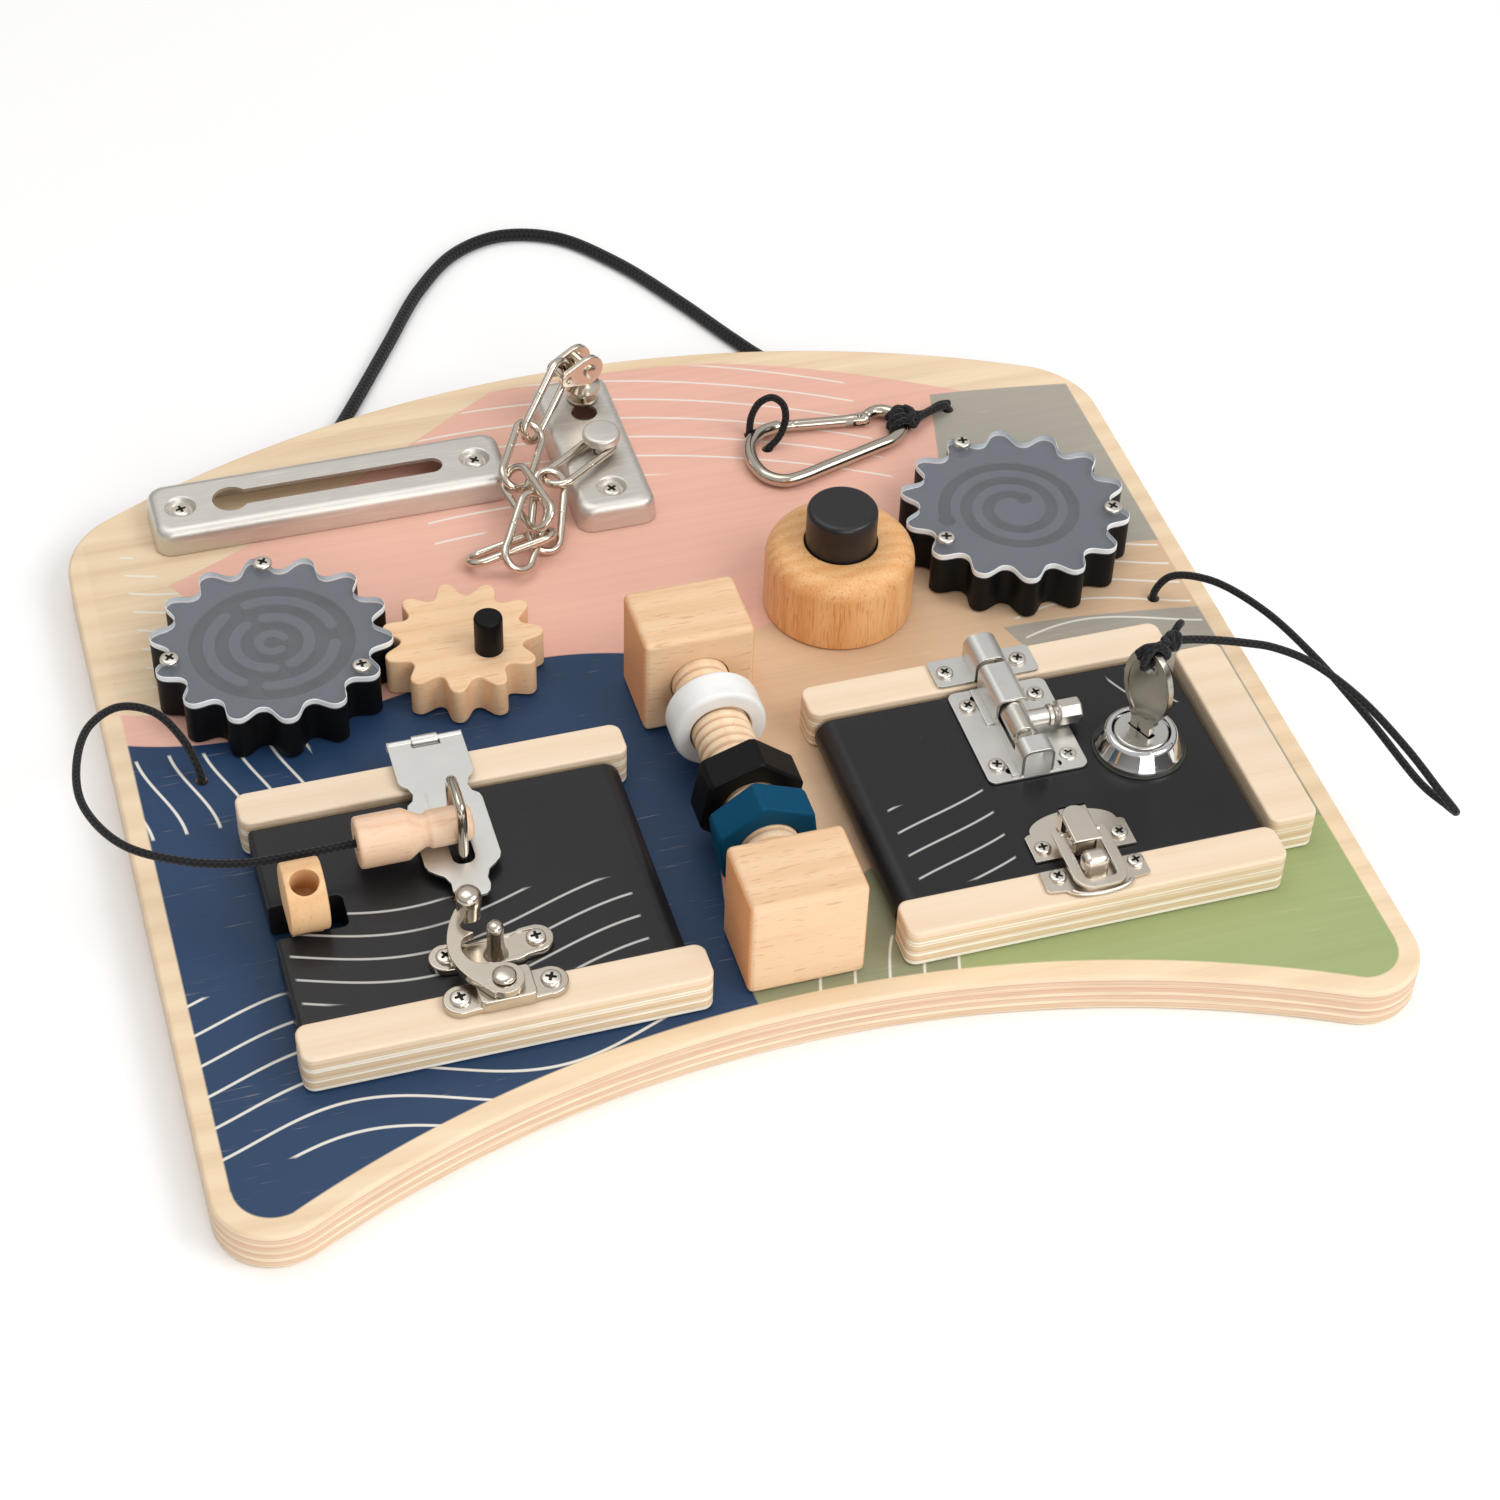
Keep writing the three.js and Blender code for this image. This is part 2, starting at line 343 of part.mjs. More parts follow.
add('left_door', door(LD_HINGE, LD_X0).subtract(box(-150, -122.5, -77.5, -65.0, 10, 30)), 'black');
{
  // bent-rod staple standing on the door
  const x = -86.0, yF = -64.0, yR = -49.5, zt = 50.0, z0 = DOOR_Z1 + GAP;
  add('staple', tube([[x, yF, z0], [x, yF, 38], [x, yF, 46], [x, yF + 1.2, 49.2], [x, yF + 4.0, zt], [x, yR - 4.0, zt], [x, yR - 1.2, 49.2], [x, yR, 46], [x, yR, 38], [x, yR, z0]], 3.0, 8, 20), 'steel');
}
{
  // strike plate with its post
  const s = shapeOf([...arc(-99.4, -98.9, 5.6, 95, 265, 7), [-92, -105.6], [-80, -105.4], ...arc(-73.2, -98.3, 5.8, -90, 85, 7), [-80, -94.6], [-92, -95.0]]);
  let p = solid(prism(s, DOOR_Z1 + GAP, 29.0, 0.5, 1, 7));
  p = p.add(turn([[0, 28], [3.7, 28], [3.5, 29.6], [2.9, 31.2], [2.3, 36.4], [2.0, 37.2], [2.9, 38.2], [3.0, 39.8], [2.3, 41.2], [0, 41.6]], -85.5, -101.25, 14));
  add('strike_plate', p, 'steel');
}
{
  // turn latch: round wooden disc on a stem, flattened below
  const cz = 35.3, r = 10.5;
  let d = solid(place(new THREE.CylinderGeometry(r, r, 11.5, 32), mul(T(LATCH[0], LATCH[1], cz), RZ(-90))));
  d = d.intersect(box(LATCH[0] - 10, LATCH[0] + 10, LATCH[1] - 12, LATCH[1] + 12, 27.7, 60));
  d = d.add(cyl('z', 4.6, LATCH[0], LATCH[1], ON, 30, 14));
  const bit = new THREE.CylinderGeometry(3.75, 3.75, 12.5, 14);
  place(bit, RX(90));
  place(bit, mul(T(LATCH[0], LATCH[1] - 2.4, cz + 6.2), RX(22)));
  d = d.subtract(solid(bit));
  add('turn_latch', d, 'beech');
}
{
  // hasp: fixed leaf with the pin, and the slotted plate
  let leaf = box(-96.5, -76.3, -31.5, -14.4, 28.3, 29.1);
  leaf = leaf.subtract(box(-98, -90.6, -19, -11, 28, 32)).subtract(box(-82.2, -74, -19, -11, 28, 32));
  leaf = leaf.add(cyl('x', 2.1, HASP_PIN_Y, HASP_PIN_Z, -90.4, -82.4, 16)).add(cyl('x', 1.0, HASP_PIN_Y, HASP_PIN_Z, -97.4, -75.4, 10));
  add('hasp_leaf', leaf, 'steel');
  const o = [[-97.9, -13.6], [-97.9, -30.6], [-95.6, -32.2], [-94.6, -35.4], [-95.4, -38.2], [-97.7, -40.0], [-97.7, -65.6], [-95.8, -68.0], [-92.9, -70.4], [-91.7, -73.4], [-92.0, -76.3], [-90.3, -79.6],
    [-82.5, -79.6], [-80.8, -76.3], [-81.1, -73.4], [-79.9, -70.4], [-77.0, -68.0], [-75.1, -65.6], [-75.1, -40.0], [-77.4, -38.2], [-78.2, -35.4], [-77.2, -32.2], [-74.9, -30.6], [-74.9, -13.6]];
  let pl = solid(prism(shapeOf(o), 29.4, 30.4));
  pl = pl.subtract(solid(prism(rrect(-89.4, -82.6, -66.6, -46.9, 2.6, 2), 28, 32)));
  pl = pl.subtract(box(-90.8, -82.0, -17.2, -8, 27, 33));
  for (const [a, b] of [[-97.9, -91.2], [-81.6, -74.9]]) pl = pl.add(cyl('x', 2.1, HASP_PIN_Y, HASP_PIN_Z, a, b, 16));
  pl = pl.subtract(cyl('x', 1.3, HASP_PIN_Y, HASP_PIN_Z, -99, -73, 12));
  add('hasp_plate', pl, 'steel');
}
{
  // turned peg, with a bore for the cord in its tail
  const p = [[0, -115.8], [7.1, -115.8], [7.75, -115.1], [7.75, -101.2], [7.3, -100.2], [5.0, -96.6], [4.9, -95.4], [5.7, -94.4], [5.6, -84.0], [5.0, -82.4], [3.6, -81.6], [0, -81.6]];
  const g = new THREE.LatheGeometry(p.map((q) => new THREE.Vector2(q[0], q[1])), 16);
  place(g, RZ(-90));
  place(g, T(0, PEG_Y, PEG_Z));
  add('lock_peg', solid(g).subtract(cyl('x', 2.3, PEG_Y, PEG_Z, -117, -100.6, 10)), 'beech');
}
{
  // swing hook: base on the rail, and the sickle arm
  const z0 = RAIL_TOP + GAP;
  const s = shapeOf([...arc(-99.2, -116.4, 6.3, 75, 285, 8), ...arc(-73.2, -115.9, 6.3, -105, 105, 8)]);
  let b = solid(prism(s, z0, 30.4, 0.5, 1, 7)).add(solid(prism(rrect(-92.4, -79.4, -121.9, -110.2, 2.2, 2), z0, 32.8, 0.5, 1, 2)));
  b = b.add(cyl('z', 2.0, HOOK_PIVOT[0], HOOK_PIVOT[1], 31, 36.2, 12)).add(turn([[0, 35.9], [3.1, 35.9], [3.1, 36.4], [2.2, 37.3], [0, 37.6]], HOOK_PIVOT[0], HOOK_PIVOT[1], 12));
  add('hook_base', b, 'steel');
  const [px, py] = HOOK_PIVOT;
  const o = [[-86.9, -89.6], [-88.2, -87.4], [-90.4, -86.4], [-93.0, -86.9], [-95.2, -89.6], [-97.4, -94.0], [-99.0, -99.2], [-99.3, -104.0], [-98.3, -108.8], [-96.2, -113.2], [-93.4, -117.0], [-90.6, -120.9]];
  for (let a = 235; a <= 440; a += 20.5) o.push([px + 6.2 * Math.cos(rad(a)), py + 6.2 * Math.sin(rad(a))]);
  o.push([-87.6, -110.1], [-90.8, -109.6], [-93.6, -108.0], [-95.2, -105.2], [-95.5, -102.2], [-94.6, -99.8], [-92.9, -98.4], [-90.9, -97.7], [-92.6, -96.6], [-93.8, -95.0], [-93.6, -93.2], [-92.0, -92.0], [-89.6, -91.6], [-87.6, -91.4]);
  let arm = solid(prism(shapeOf(o), 33.1, 35.6)).subtract(cyl('z', 2.4, px, py, 30, 40, 12));
  arm = arm.add(turn([[0, 34], [3.1, 34], [2.9, 37.4], [3.2, 38.4], [3.7, 39.2], [3.7, 42.0], [3.2, 43.4], [2.0, 44.3], [0, 44.6]], -90.5, -90.0, 14));
  add('hook_arm', arm, 'steel');
}

// ---- right door ----------------------------------------------------------------
{
  let d = door(RD_HINGE, RD_X1);
  d = d.subtract(cyl('z', 10.2, LOCK[0], LOCK[1], 10, 30, 20));
  const sector = [[0, 0]];
  for (let a = -98; a <= 8; a += 8.834) sector.push([29 * Math.cos(rad(a)), 29 * Math.sin(rad(a))]);
  d = d.subtract(solid(moveTo(prism(shapeOf(sector), 10, 18), LOCK)));
  d = d.subtract(box(LOCK[0], 150, LOCK[1] - 4, LOCK[1] + 4.2, 10, 18)).subtract(box(LOCK[0] - 4.2, LOCK[0] + 4, LOCK[1] - 29, LOCK[1], 10, 18));
  add('right_door', d, 'black');
}
function channel(w, h, t, y0, y1, z0) {
  // inverted U along Y, centred on BOLT_X
  const x0 = BOLT_X - w / 2, x1 = BOLT_X + w / 2, r = 2.4, z = z0 + h - r;
  const o = shapeOf([[x0, z0], [x1, z0], ...arc(x1 - r, z, r, 0, 90, 3), ...arc(x0 + r, z, r, 90, 180, 3)]);
  const i = shapeOf([[x0 + t, z0 - 1], [x1 - t, z0 - 1], ...arc(x1 - r, z, r - t, 0, 90, 2), ...arc(x0 + r, z, r - t, 90, 180, 2)]);
  return [solid(prismY(o, y0, y1)), solid(prismY(i, y0 - 0.5, y1 + 0.5))];
}
{
  // bolt base: plate with a long and a short strap
  const z0 = DOOR_Z1 + GAP, zt = z0 + 0.8;
  let p = solid(prism(rrect(72.7, 104.5, -73.7, -33.5, 2.6), z0, zt, 0, 1, 4));
  const [a, ai] = channel(10.4, 10.7, 0.9, -50.3, -33.6, z0 + 0.02);
  const [b, bi] = channel(10.4, 10.7, 0.9, -73.2, -66.4, z0 + 0.02);
  const cut = (m) => m.intersect(box(60, 120, -90, -20, zt, 60));
  p = p.add(a.subtract(cut(ai))).add(b.subtract(cut(bi)));
  // low guide walls beside the rod, open where the side knob travels
  p = p.add(box(BOLT_X - 5.2, BOLT_X - 4.3, -66.6, -50.2, zt - 0.3, 30.4));
  p = p.subtract(box(BOLT_X + 3.5, BOLT_X + 7, -51.0, -44.2, 29.1, 35.6));
  add('bolt_plate', p, 'steel');
  let r = cyl('y', BOLT_R, BOLT_X, BOLT_Z, -62.0, -32.0, 20).add(cyl('x', 2.6, -54.6, BOLT_Z, BOLT_X, 102, 14));
  const k = new THREE.CylinderGeometry(4.4, 4.4, 7.6, 8);
  place(k, RY(0)); place(k, RZ(-90)); place(k, T(104.1, -54.6, BOLT_Z));
  r = r.add(solid(k));
  add('bolt_rod', r, 'steel');
  // keeper on the back rail
  const kz = RAIL_TOP + GAP;
  let q = solid(prism(rrect(70.8, 104.0, -31.6, -19.8, 1.2), kz, kz + 0.9, 0, 1, 2));
  const [c, ci] = channel(10.4, 37.42 - kz, 0.9, -31.6, -19.8, kz + 0.02);
  q = q.subtract(box(BOLT_X - 4.3, BOLT_X + 4.3, -40, -10, 20, 40)).add(c.subtract(ci));
  add('bolt_keeper', q, 'steel');
}
{
  // toggle catch: base with bracket, lever, loop, hook plate
  const z0 = DOOR_Z1 + GAP, zt = z0 + 0.8;
  const s = new THREE.Shape();
  s.moveTo(74.8, -107.3); s.lineTo(106.3, -107.3); s.lineTo(106.3, -96.6);
  s.lineTo(104.2, -96.4); s.quadraticCurveTo(101, -89.6, 90.5, -89.6); s.quadraticCurveTo(80, -89.6, 76.9, -96.4); s.lineTo(74.8, -96.6);
  let b = solid(prism(s, z0, zt, 0, 1, 4));
  const [py, pz] = TOG_P, [qy, qz] = TOG_Q;
  b = b.add(box(TOG_X - 2.7, TOG_X + 2.7, py - 1.9, py + 1.9, zt - 0.3, pz)).add(cyl('x', 1.9, py, pz, TOG_X - 2.7, TOG_X + 2.7, 16));
  b = b.subtract(cyl('x', 1.2, py, pz, TOG_X - 4, TOG_X + 4, 12));
  add('toggle_base', b, 'steel');
  // lever: folded channel, rounded at the back
  const prof = [[-109.3, 29.9], [-107.9, 28.7], [-106.6, 28.05], [-95.0, 28.05], [-95.0, 35.0], [-108.9, 35.0], [-109.3, 34.6]];
  let l = solid(prismX(shapeOf(prof), TOG_X - 4.2, TOG_X + 4.2));
  const plan = shapeOf([[TOG_X - 4.2, -110], [TOG_X + 4.2, -110], ...arc(TOG_X, -98.8, 4.2, 0, 180, 8)]);
  l = l.intersect(solid(prism(plan, 20, 40, 0, 1, 10)));
  const inner = shapeOf([[TOG_X - 3.2, -108.5], [TOG_X + 3.2, -108.5], ...arc(TOG_X, -98.8, 3.2, 0, 180, 6)]);
  l = l.subtract(solid(prism(inner, 20, 34.0, 0, 1, 8)));
  l = l.subtract(box(TOG_X - 3.1, TOG_X + 3.1, -111, -107.8, 27, 34.0));
  l = l.subtract(cyl('x', 1.1, qy, qz, TOG_X - 6, TOG_X + 6, 12));
  l = l.add(cyl('x', 0.9, py, pz, TOG_X - 4.0, TOG_X + 4.0, 12));
  add('toggle_lever', l, 'steel');
  // loop: flat U with stub pins into the lever
  const xi = 4.9, w = 3.5, xo = xi + w;
  const o = new THREE.Shape();
  o.moveTo(TOG_X - xo, -101.2); o.lineTo(TOG_X - xo, -119.2);
  o.quadraticCurveTo(TOG_X - xo + 0.4, -123.6, TOG_X - 3.2, -124.5);
  o.lineTo(TOG_X + 3.2, -124.5);
  o.quadraticCurveTo(TOG_X + xo - 0.4, -123.6, TOG_X + xo, -119.2);
  o.lineTo(TOG_X + xo, -101.2); o.lineTo(TOG_X + xi, -101.2); o.lineTo(TOG_X + xi, -120.2);
  o.quadraticCurveTo(TOG_X + xi - 0.3, -121.4, TOG_X + 3.4, -121.5);
  o.lineTo(TOG_X - 3.4, -121.5);
  o.quadraticCurveTo(TOG_X - xi + 0.3, -121.4, TOG_X - xi, -120.2);
  o.lineTo(TOG_X - xi, -101.2);
  let u = solid(prism(o, 30.7, 31.9, 0, 1, 2));
  u = u.add(cyl('x', 0.8, qy, qz, TOG_X - xi - 1, TOG_X - 3.3, 10)).add(cyl('x', 0.8, qy, qz, TOG_X + 3.3, TOG_X + xi + 1, 10));
  add('toggle_loop', u, 'steel');
  // hook plate on the front rail
  const hz = RAIL_TOP + GAP;
  const h = new THREE.Shape();
  h.moveTo(73.4, -112.7); h.lineTo(73.2, -120.8); h.lineTo(78.6, -121.6);
  h.quadraticCurveTo(84, -125.1, 89.4, -125.1); h.quadraticCurveTo(95, -125.1, 100, -121.6);
  h.lineTo(105.2, -121.0); h.lineTo(105.2, -113.0);
  let hp = solid(prism(h, hz, hz + 0.8, 0, 1, 3));
  const lip = new THREE.Shape();
  lip.moveTo(80.4, -122.6); lip.quadraticCurveTo(84.5, -125.1, 89.4, -125.1); lip.quadraticCurveTo(94.4, -125.1, 98.4, -122.6);
  lip.lineTo(97.6, -121.6); lip.quadraticCurveTo(93.6, -124.0, 89.4, -124.0); lip.quadraticCurveTo(85.2, -124.0, 81.2, -121.6);
  hp = hp.add(solid(prism(lip, hz + 0.4, 30.2, 0, 1, 3)));
  hp = hp.add(turn([[0, 28.8], [3.5, 28.8], [3.5, 34.4], [3.1, 35.7], [2.1, 36.5], [0, 36.8]], 88.7, -116.2, 20));
  add('catch_hook', hp, 'steel');
}
{
  // lock: bezel with barrel, plug with cam, key
  const [x, y] = LOCK;
  add('lock_body', turn([[8.9, 18.3], [9.8, 18.3], [9.8, 26.7], [14.3, 26.7], [14.3, 28.3], [10.6, 33.6], [9.4, 33.8], [8.9, 33.3], [8.9, 18.3]], x, y, 20), 'chrome');
  let plug = turn([[0, 15.2], [6, 15.2], [6, 17.4], [8.5, 17.7], [8.5, 33.4], [8.2, 33.7], [0, 33.7]], x, y, 24);
  plug = plug.add(box(x - 3.5, x + 3.5, y - 28, y, 15.2, 17.4));
  const M = mul(T(x, y, 0), RZ(KEY_ANG * 180 / Math.PI));
  plug = plug.subtract(solid(place(place(new THREE.BoxGeometry(9.2, 2.8, 30), T(0, 0, 19.4 + 15)), M)));
  add('lock_plug', plug, 'chrome');
  // key drawn in (s, z), s along the slot
  const k = new THREE.Shape();
  const pts = [[-1.2, 20.0], [1.4, 20.2], [3.0, 22.0], [2.2, 23.4], [3.4, 25.0], [2.0, 26.6], [3.2, 28.4], [2.4, 30.0], [4.0, 31.8], [4.0, 37.4], [5.2, 38.6]];
  k.moveTo(-4.0, 22.4);
  for (const p of pts) k.lineTo(p[0], p[1]);
  for (let i = 1; i < 24; i++) {
    const a = rad(-62 + 304 * i / 24);
    k.lineTo(9.2 * Math.cos(a), 52 + 13.8 * Math.sin(a));
  }
  k.lineTo(-5.2, 38.6); k.lineTo(-4.0, 37.4);
  const eye = new THREE.Path(); eye.absarc(-0.6, 60.2, 2.9, 0, 2 * Math.PI, true);
  k.holes.push(eye);
  const g = prismY(k, -1.1, 1.1);
  place(g, M);
  add('key', solid(g), 'steel');
}

// ---- snap hook and its cords -----------------------------------------------------
{
  const z = ON + 2.3, d = 4.5;
  const P = [[96.6, 115.0], [99.6, 116.6], [103.2, 116.2], [106.4, 113.2], [107.0, 108.6], [105.2, 103.8], [100.8, 100.4], [94.0, 98.2], [84.0, 95.2], [74.0, 92.2], [66.0, 89.8], [59.6, 89.2], [54.6, 92.4], [52.2, 98.4], [52.0, 105.0], [54.2, 111.4], [59.2, 115.8], [65.6, 117.3]];
  const body = tube(P.map((p) => [p[0], p[1], z]), d, 8, 30);
  const piv = [93.6, 113.8];
  const tongue = solid(prism(shapeOf([[97.6, 113.0], [96.8, 116.9], [93.4, 115.7], [91.7, 114.2], [92.2, 112.3], [93.9, 111.9]]), z - 0.8, z + 0.8));
  add('snap_body', body.add(tongue).subtract(cyl('z', 1.0, piv[0], piv[1], z - 4, z + 4, 10)), 'steel');
  const a = Math.atan2(117.1 - 113.8, 66.4 - 93.6);
  const along = (t) => [piv[0] + t * Math.cos(a), piv[1] + t * Math.sin(a)];
  let gate = tube([[...along(1.4), z], [...along(12), z], [...along(26.2), z]], 4.0, 10, 4);
  gate = gate.add(cyl('z', 2.3, piv[0], piv[1], z - 2.0, z + 2.0, 16));
  // fork slot for the tongue, then the pin through it
  gate = gate.subtract(box(88.6, 99, 108, 120, z - 1.1, z + 1.1));
  gate = gate.add(cyl('z', 0.7, piv[0], piv[1], z - 1.9, z + 1.9, 8));
  add('snap_gate', gate, 'steel');
}
const cord = (name, pts, d, steps, sides = 8) => add(name, tube(pts, d, sides, steps), 'cord');
cord('loop_cord', [[56.0, 118.4, 12.5], [55.9, 118.5, 17], [56.4, 118.1, 22.8], [58.8, 116.8, 29.0], [62.4, 115.0, 31.6], [65.6, 113.6, 29.4], [66.6, 112.4, 24.8], [65.2, 111.0, 20.2], [63.0, 110.0, 17.2], [61.2, 109.7, 15.6], [60.1, 109.7, 14.4], [59.6, 109.8, 12.5]], CORD_D, 20);
cord('tether_cord', [[126.3, 114.3, 12.5], [126.1, 114.2, 15.0], [124.4, 113.4, 17.0], [120.0, 111.6, 17.4], [116.0, 109.8, 17.6], [113.4, 108.7, 17.9]], CORD_D, 7);
{
  // knot of the tether round the small end of the snap hook
  const g = new THREE.LatheGeometry([[3.3, -2.9], [4.4, -3.2], [5.4, -2.2], [5.6, 0], [5.4, 2.2], [4.4, 3.2], [3.3, 2.9], [3.3, -2.9]].map((p) => new THREE.Vector2(p[0], p[1])), 12);
  place(g, mul(T(106.8, 108.4, ON + 2.3), RZ(-8)));
  add('tether_knot', solid(g).intersect(box(90, 125, 95, 125, ON, 40)), 'cord');
}
cord('peg_cord', [[-152, 2.75, 12.5], [-152.2, 3.4, 17], [-155, 10, 24.5], [-162, 18, 31], [-172, 19, 35], [-182, 11, 37], [-188, -5, 37.6], [-188.5, -22, 37.4], [-180, -40, 37.2], [-164, -51, 37.1], [-148, -56, 37], [-136, -56.75, 37], [-124, -56.75, 37], [-114.6, -56.75, 37]], CORD_D, 30);
cord('key_cord', [[158.6, 4.75, 12.5], [158.8, 4.9, 17], [162.5, 3.0, 24], [171, -8, 30], [181, -26, 31], [189, -48, 29], [196, -76, 25.5], [201, -104, 23], [203.6, -114, 24], [203.2, -121, 27.5], [199, -117, 33], [193, -104, 40], [183, -88, 49], [171, -77, 56.5], [160, -71.5, 60.5], [152.2, -69.2, 62.0]], CORD_D, 36);
cord('hanging_cord', [[-80, 152.5, 6.5], [-80, 160, 6.5], [-79, 166, 4.6], [-75.6, 172.8, 2.3], [-66, 188, 2.15], [-50, 214, 2.15], [-32, 243, 2.15], [-14, 262, 2.15], [4.3, 268.3, 2.15], [24, 262, 2.15], [42, 241, 2.15], [58, 212, 2.15], [70, 187, 2.15], [77.6, 172.6, 2.3], [81, 166, 4.6], [82, 160, 6.5], [82, 152, 6.5]], HANG_D, 28, 8);

export default root;
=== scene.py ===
import math
import bpy
import bmesh
from mathutils import Matrix, Vector


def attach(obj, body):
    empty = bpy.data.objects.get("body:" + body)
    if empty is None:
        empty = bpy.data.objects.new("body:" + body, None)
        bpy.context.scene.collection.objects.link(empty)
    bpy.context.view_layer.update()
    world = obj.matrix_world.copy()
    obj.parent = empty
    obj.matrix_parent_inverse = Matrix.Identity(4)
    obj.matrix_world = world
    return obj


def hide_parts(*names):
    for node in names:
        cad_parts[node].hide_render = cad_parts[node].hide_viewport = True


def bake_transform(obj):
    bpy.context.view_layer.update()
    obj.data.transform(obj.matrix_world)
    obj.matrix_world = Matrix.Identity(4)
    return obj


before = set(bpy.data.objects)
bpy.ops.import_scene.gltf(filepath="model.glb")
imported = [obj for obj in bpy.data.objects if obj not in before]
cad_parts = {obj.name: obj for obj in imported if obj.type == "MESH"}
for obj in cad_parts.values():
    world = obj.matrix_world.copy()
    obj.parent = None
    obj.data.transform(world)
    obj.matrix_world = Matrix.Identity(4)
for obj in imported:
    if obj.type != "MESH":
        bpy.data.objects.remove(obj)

SC = bpy.context.scene
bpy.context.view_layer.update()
MM = 0.001
rad = math.radians

# ---------------------------------------------------------------------------- camera
R_ = (0.9568035808, -0.2893263414, 0.0285862883)
U_ = (0.1843624143, 0.6798203859, 0.7098272629)
F_ = (0.2248052665, 0.6738950298, -0.7037954824)
cam_data = bpy.data.cameras.new("camera")
cam_data.sensor_width = 36.0
cam_data.sensor_fit = "HORIZONTAL"
cam_data.lens = 3150.5936 / 1500 * 36
cam_data.clip_start, cam_data.clip_end = 0.05, 20
cam_data.dof.use_dof = False
cam = bpy.data.objects.new("camera", cam_data)
SC.collection.objects.link(cam)
cam.matrix_world = Matrix(((R_[0], U_[0], -F_[0], -0.20583955), (R_[1], U_[1], -F_[1], -0.68040841),
                           (R_[2], U_[2], -F_[2], 0.69544630), (0, 0, 0, 1)))
SC.camera = cam


# ---------------------------------------------------------------------------- mesh tools (millimetres in, metres out)
def finish_obj(name, bm):
    me = bpy.data.meshes.new(name)
    bmesh.ops.remove_doubles(bm, verts=bm.verts, dist=1e-6)
    bmesh.ops.recalc_face_normals(bm, faces=bm.faces)
    bm.to_mesh(me)
    bm.free()
    ob = bpy.data.objects.new(name, me)
    SC.collection.objects.link(ob)
    return ob


def raw(name, verts, faces, M=None):
    bm = bmesh.new()
    vs = []
    for v in verts:
        p = Vector(v)
        if M is not None:
            p = M @ p
        vs.append(bm.verts.new(p * MM))
    for f in faces:
        f = [i for k, i in enumerate(f) if i != f[k - 1]]
        if len(f) > 2:
            try:
                bm.faces.new([vs[i] for i in f])
            except ValueError:
                pass
    return finish_obj(name, bm)


def T(x, y, z):
    return Matrix.Translation((x, y, z))


def RX(d):
    return Matrix.Rotation(rad(d), 4, "X")


def RY(d):
    return Matrix.Rotation(rad(d), 4, "Y")


def RZ(d):
    return Matrix.Rotation(rad(d), 4, "Z")


def arc(cx, cy, r, a0, a1, n):
    return [(cx + r * math.cos(rad(a0 + (a1 - a0) * i / n)), cy + r * math.sin(rad(a0 + (a1 - a0) * i / n))) for i in range(n + 1)]


def rrect(x0, x1, y0, y1, r, n=8):
    return arc(x1 - r, y0 + r, r, -90, 0, n) + arc(x1 - r, y1 - r, r, 0, 90, n) + arc(x0 + r, y1 - r, r, 90, 180, n) + arc(x0 + r, y0 + r, r, 180, 270, n)


def clean(pts):
    o = []
    for p in pts:
        if not o or math.hypot(p[0] - o[-1][0], p[1] - o[-1][1]) > 1e-3:
            o.append(p)
    if math.hypot(o[0][0] - o[-1][0], o[0][1] - o[-1][1]) < 1e-3:
        o.pop()
    return o


def smooth_loop(pts, per=6):
    """closed Catmull-Rom curve through pts"""
    n, o = len(pts), []
    for i in range(n):
        p0, p1, p2, p3 = (pts[(i + k - 1) % n] for k in range(4))
        for j in range(per):
            t = j / per
            o.append(tuple(0.5 * ((2 * p1[a]) + (-p0[a] + p2[a]) * t + (2 * p0[a] - 5 * p1[a] + 4 * p2[a] - p3[a]) * t * t
                                  + (-p0[a] + 3 * p1[a] - 3 * p2[a] + p3[a]) * t ** 3) for a in (0, 1)))
    return o


def prism(pts, z0, z1, bev=0.0, seg=3, M=None, both=True, name="p"):
    """outline (x, y) drawn up from z0 to z1; bev rounds the rims"""
    pts = clean(pts)
    bm = bmesh.new()
    lo = [bm.verts.new((x, y, z0)) for x, y in pts]
    hi = [bm.verts.new((x, y, z1)) for x, y in pts]
    n = len(pts)
    bm.faces.new(lo[::-1])
    top = bm.faces.new(hi)
    for i in range(n):
        bm.faces.new((lo[i], lo[(i + 1) % n], hi[(i + 1) % n], hi[i]))
    bmesh.ops.recalc_face_normals(bm, faces=bm.faces)
    if bev > 0:
        es = [e for e in bm.edges if abs(e.verts[0].co.z - e.verts[1].co.z) < 1e-6 and (both or e.verts[0].co.z > (z0 + z1) / 2)]
        bmesh.ops.bevel(bm, geom=es, offset=bev, segments=seg, profile=0.5, affect="EDGES", clamp_overlap=True)
    for v in bm.verts:
        v.co = ((M @ v.co) if M is not None else v.co) * MM
    return finish_obj(name, bm)


PX = Matrix(((0, 0, 1, 0), (1, 0, 0, 0), (0, 1, 0, 0), (0, 0, 0, 1)))     # (y, z) outline drawn along X
PY = Matrix(((1, 0, 0, 0), (0, 0, -1, 0), (0, 1, 0, 0), (0, 0, 0, 1)))    # (x, z) outline drawn along -Y


def prism_y(pts, y0, y1, bev=0.0, seg=3, M=None):
    m = PY if M is None else M @ PY
    return prism(pts, -y1, -y0, bev, seg, m)


def prism_x(pts, x0, x1, bev=0.0, seg=3):
    return prism(pts, x0, x1, bev, seg, PX)


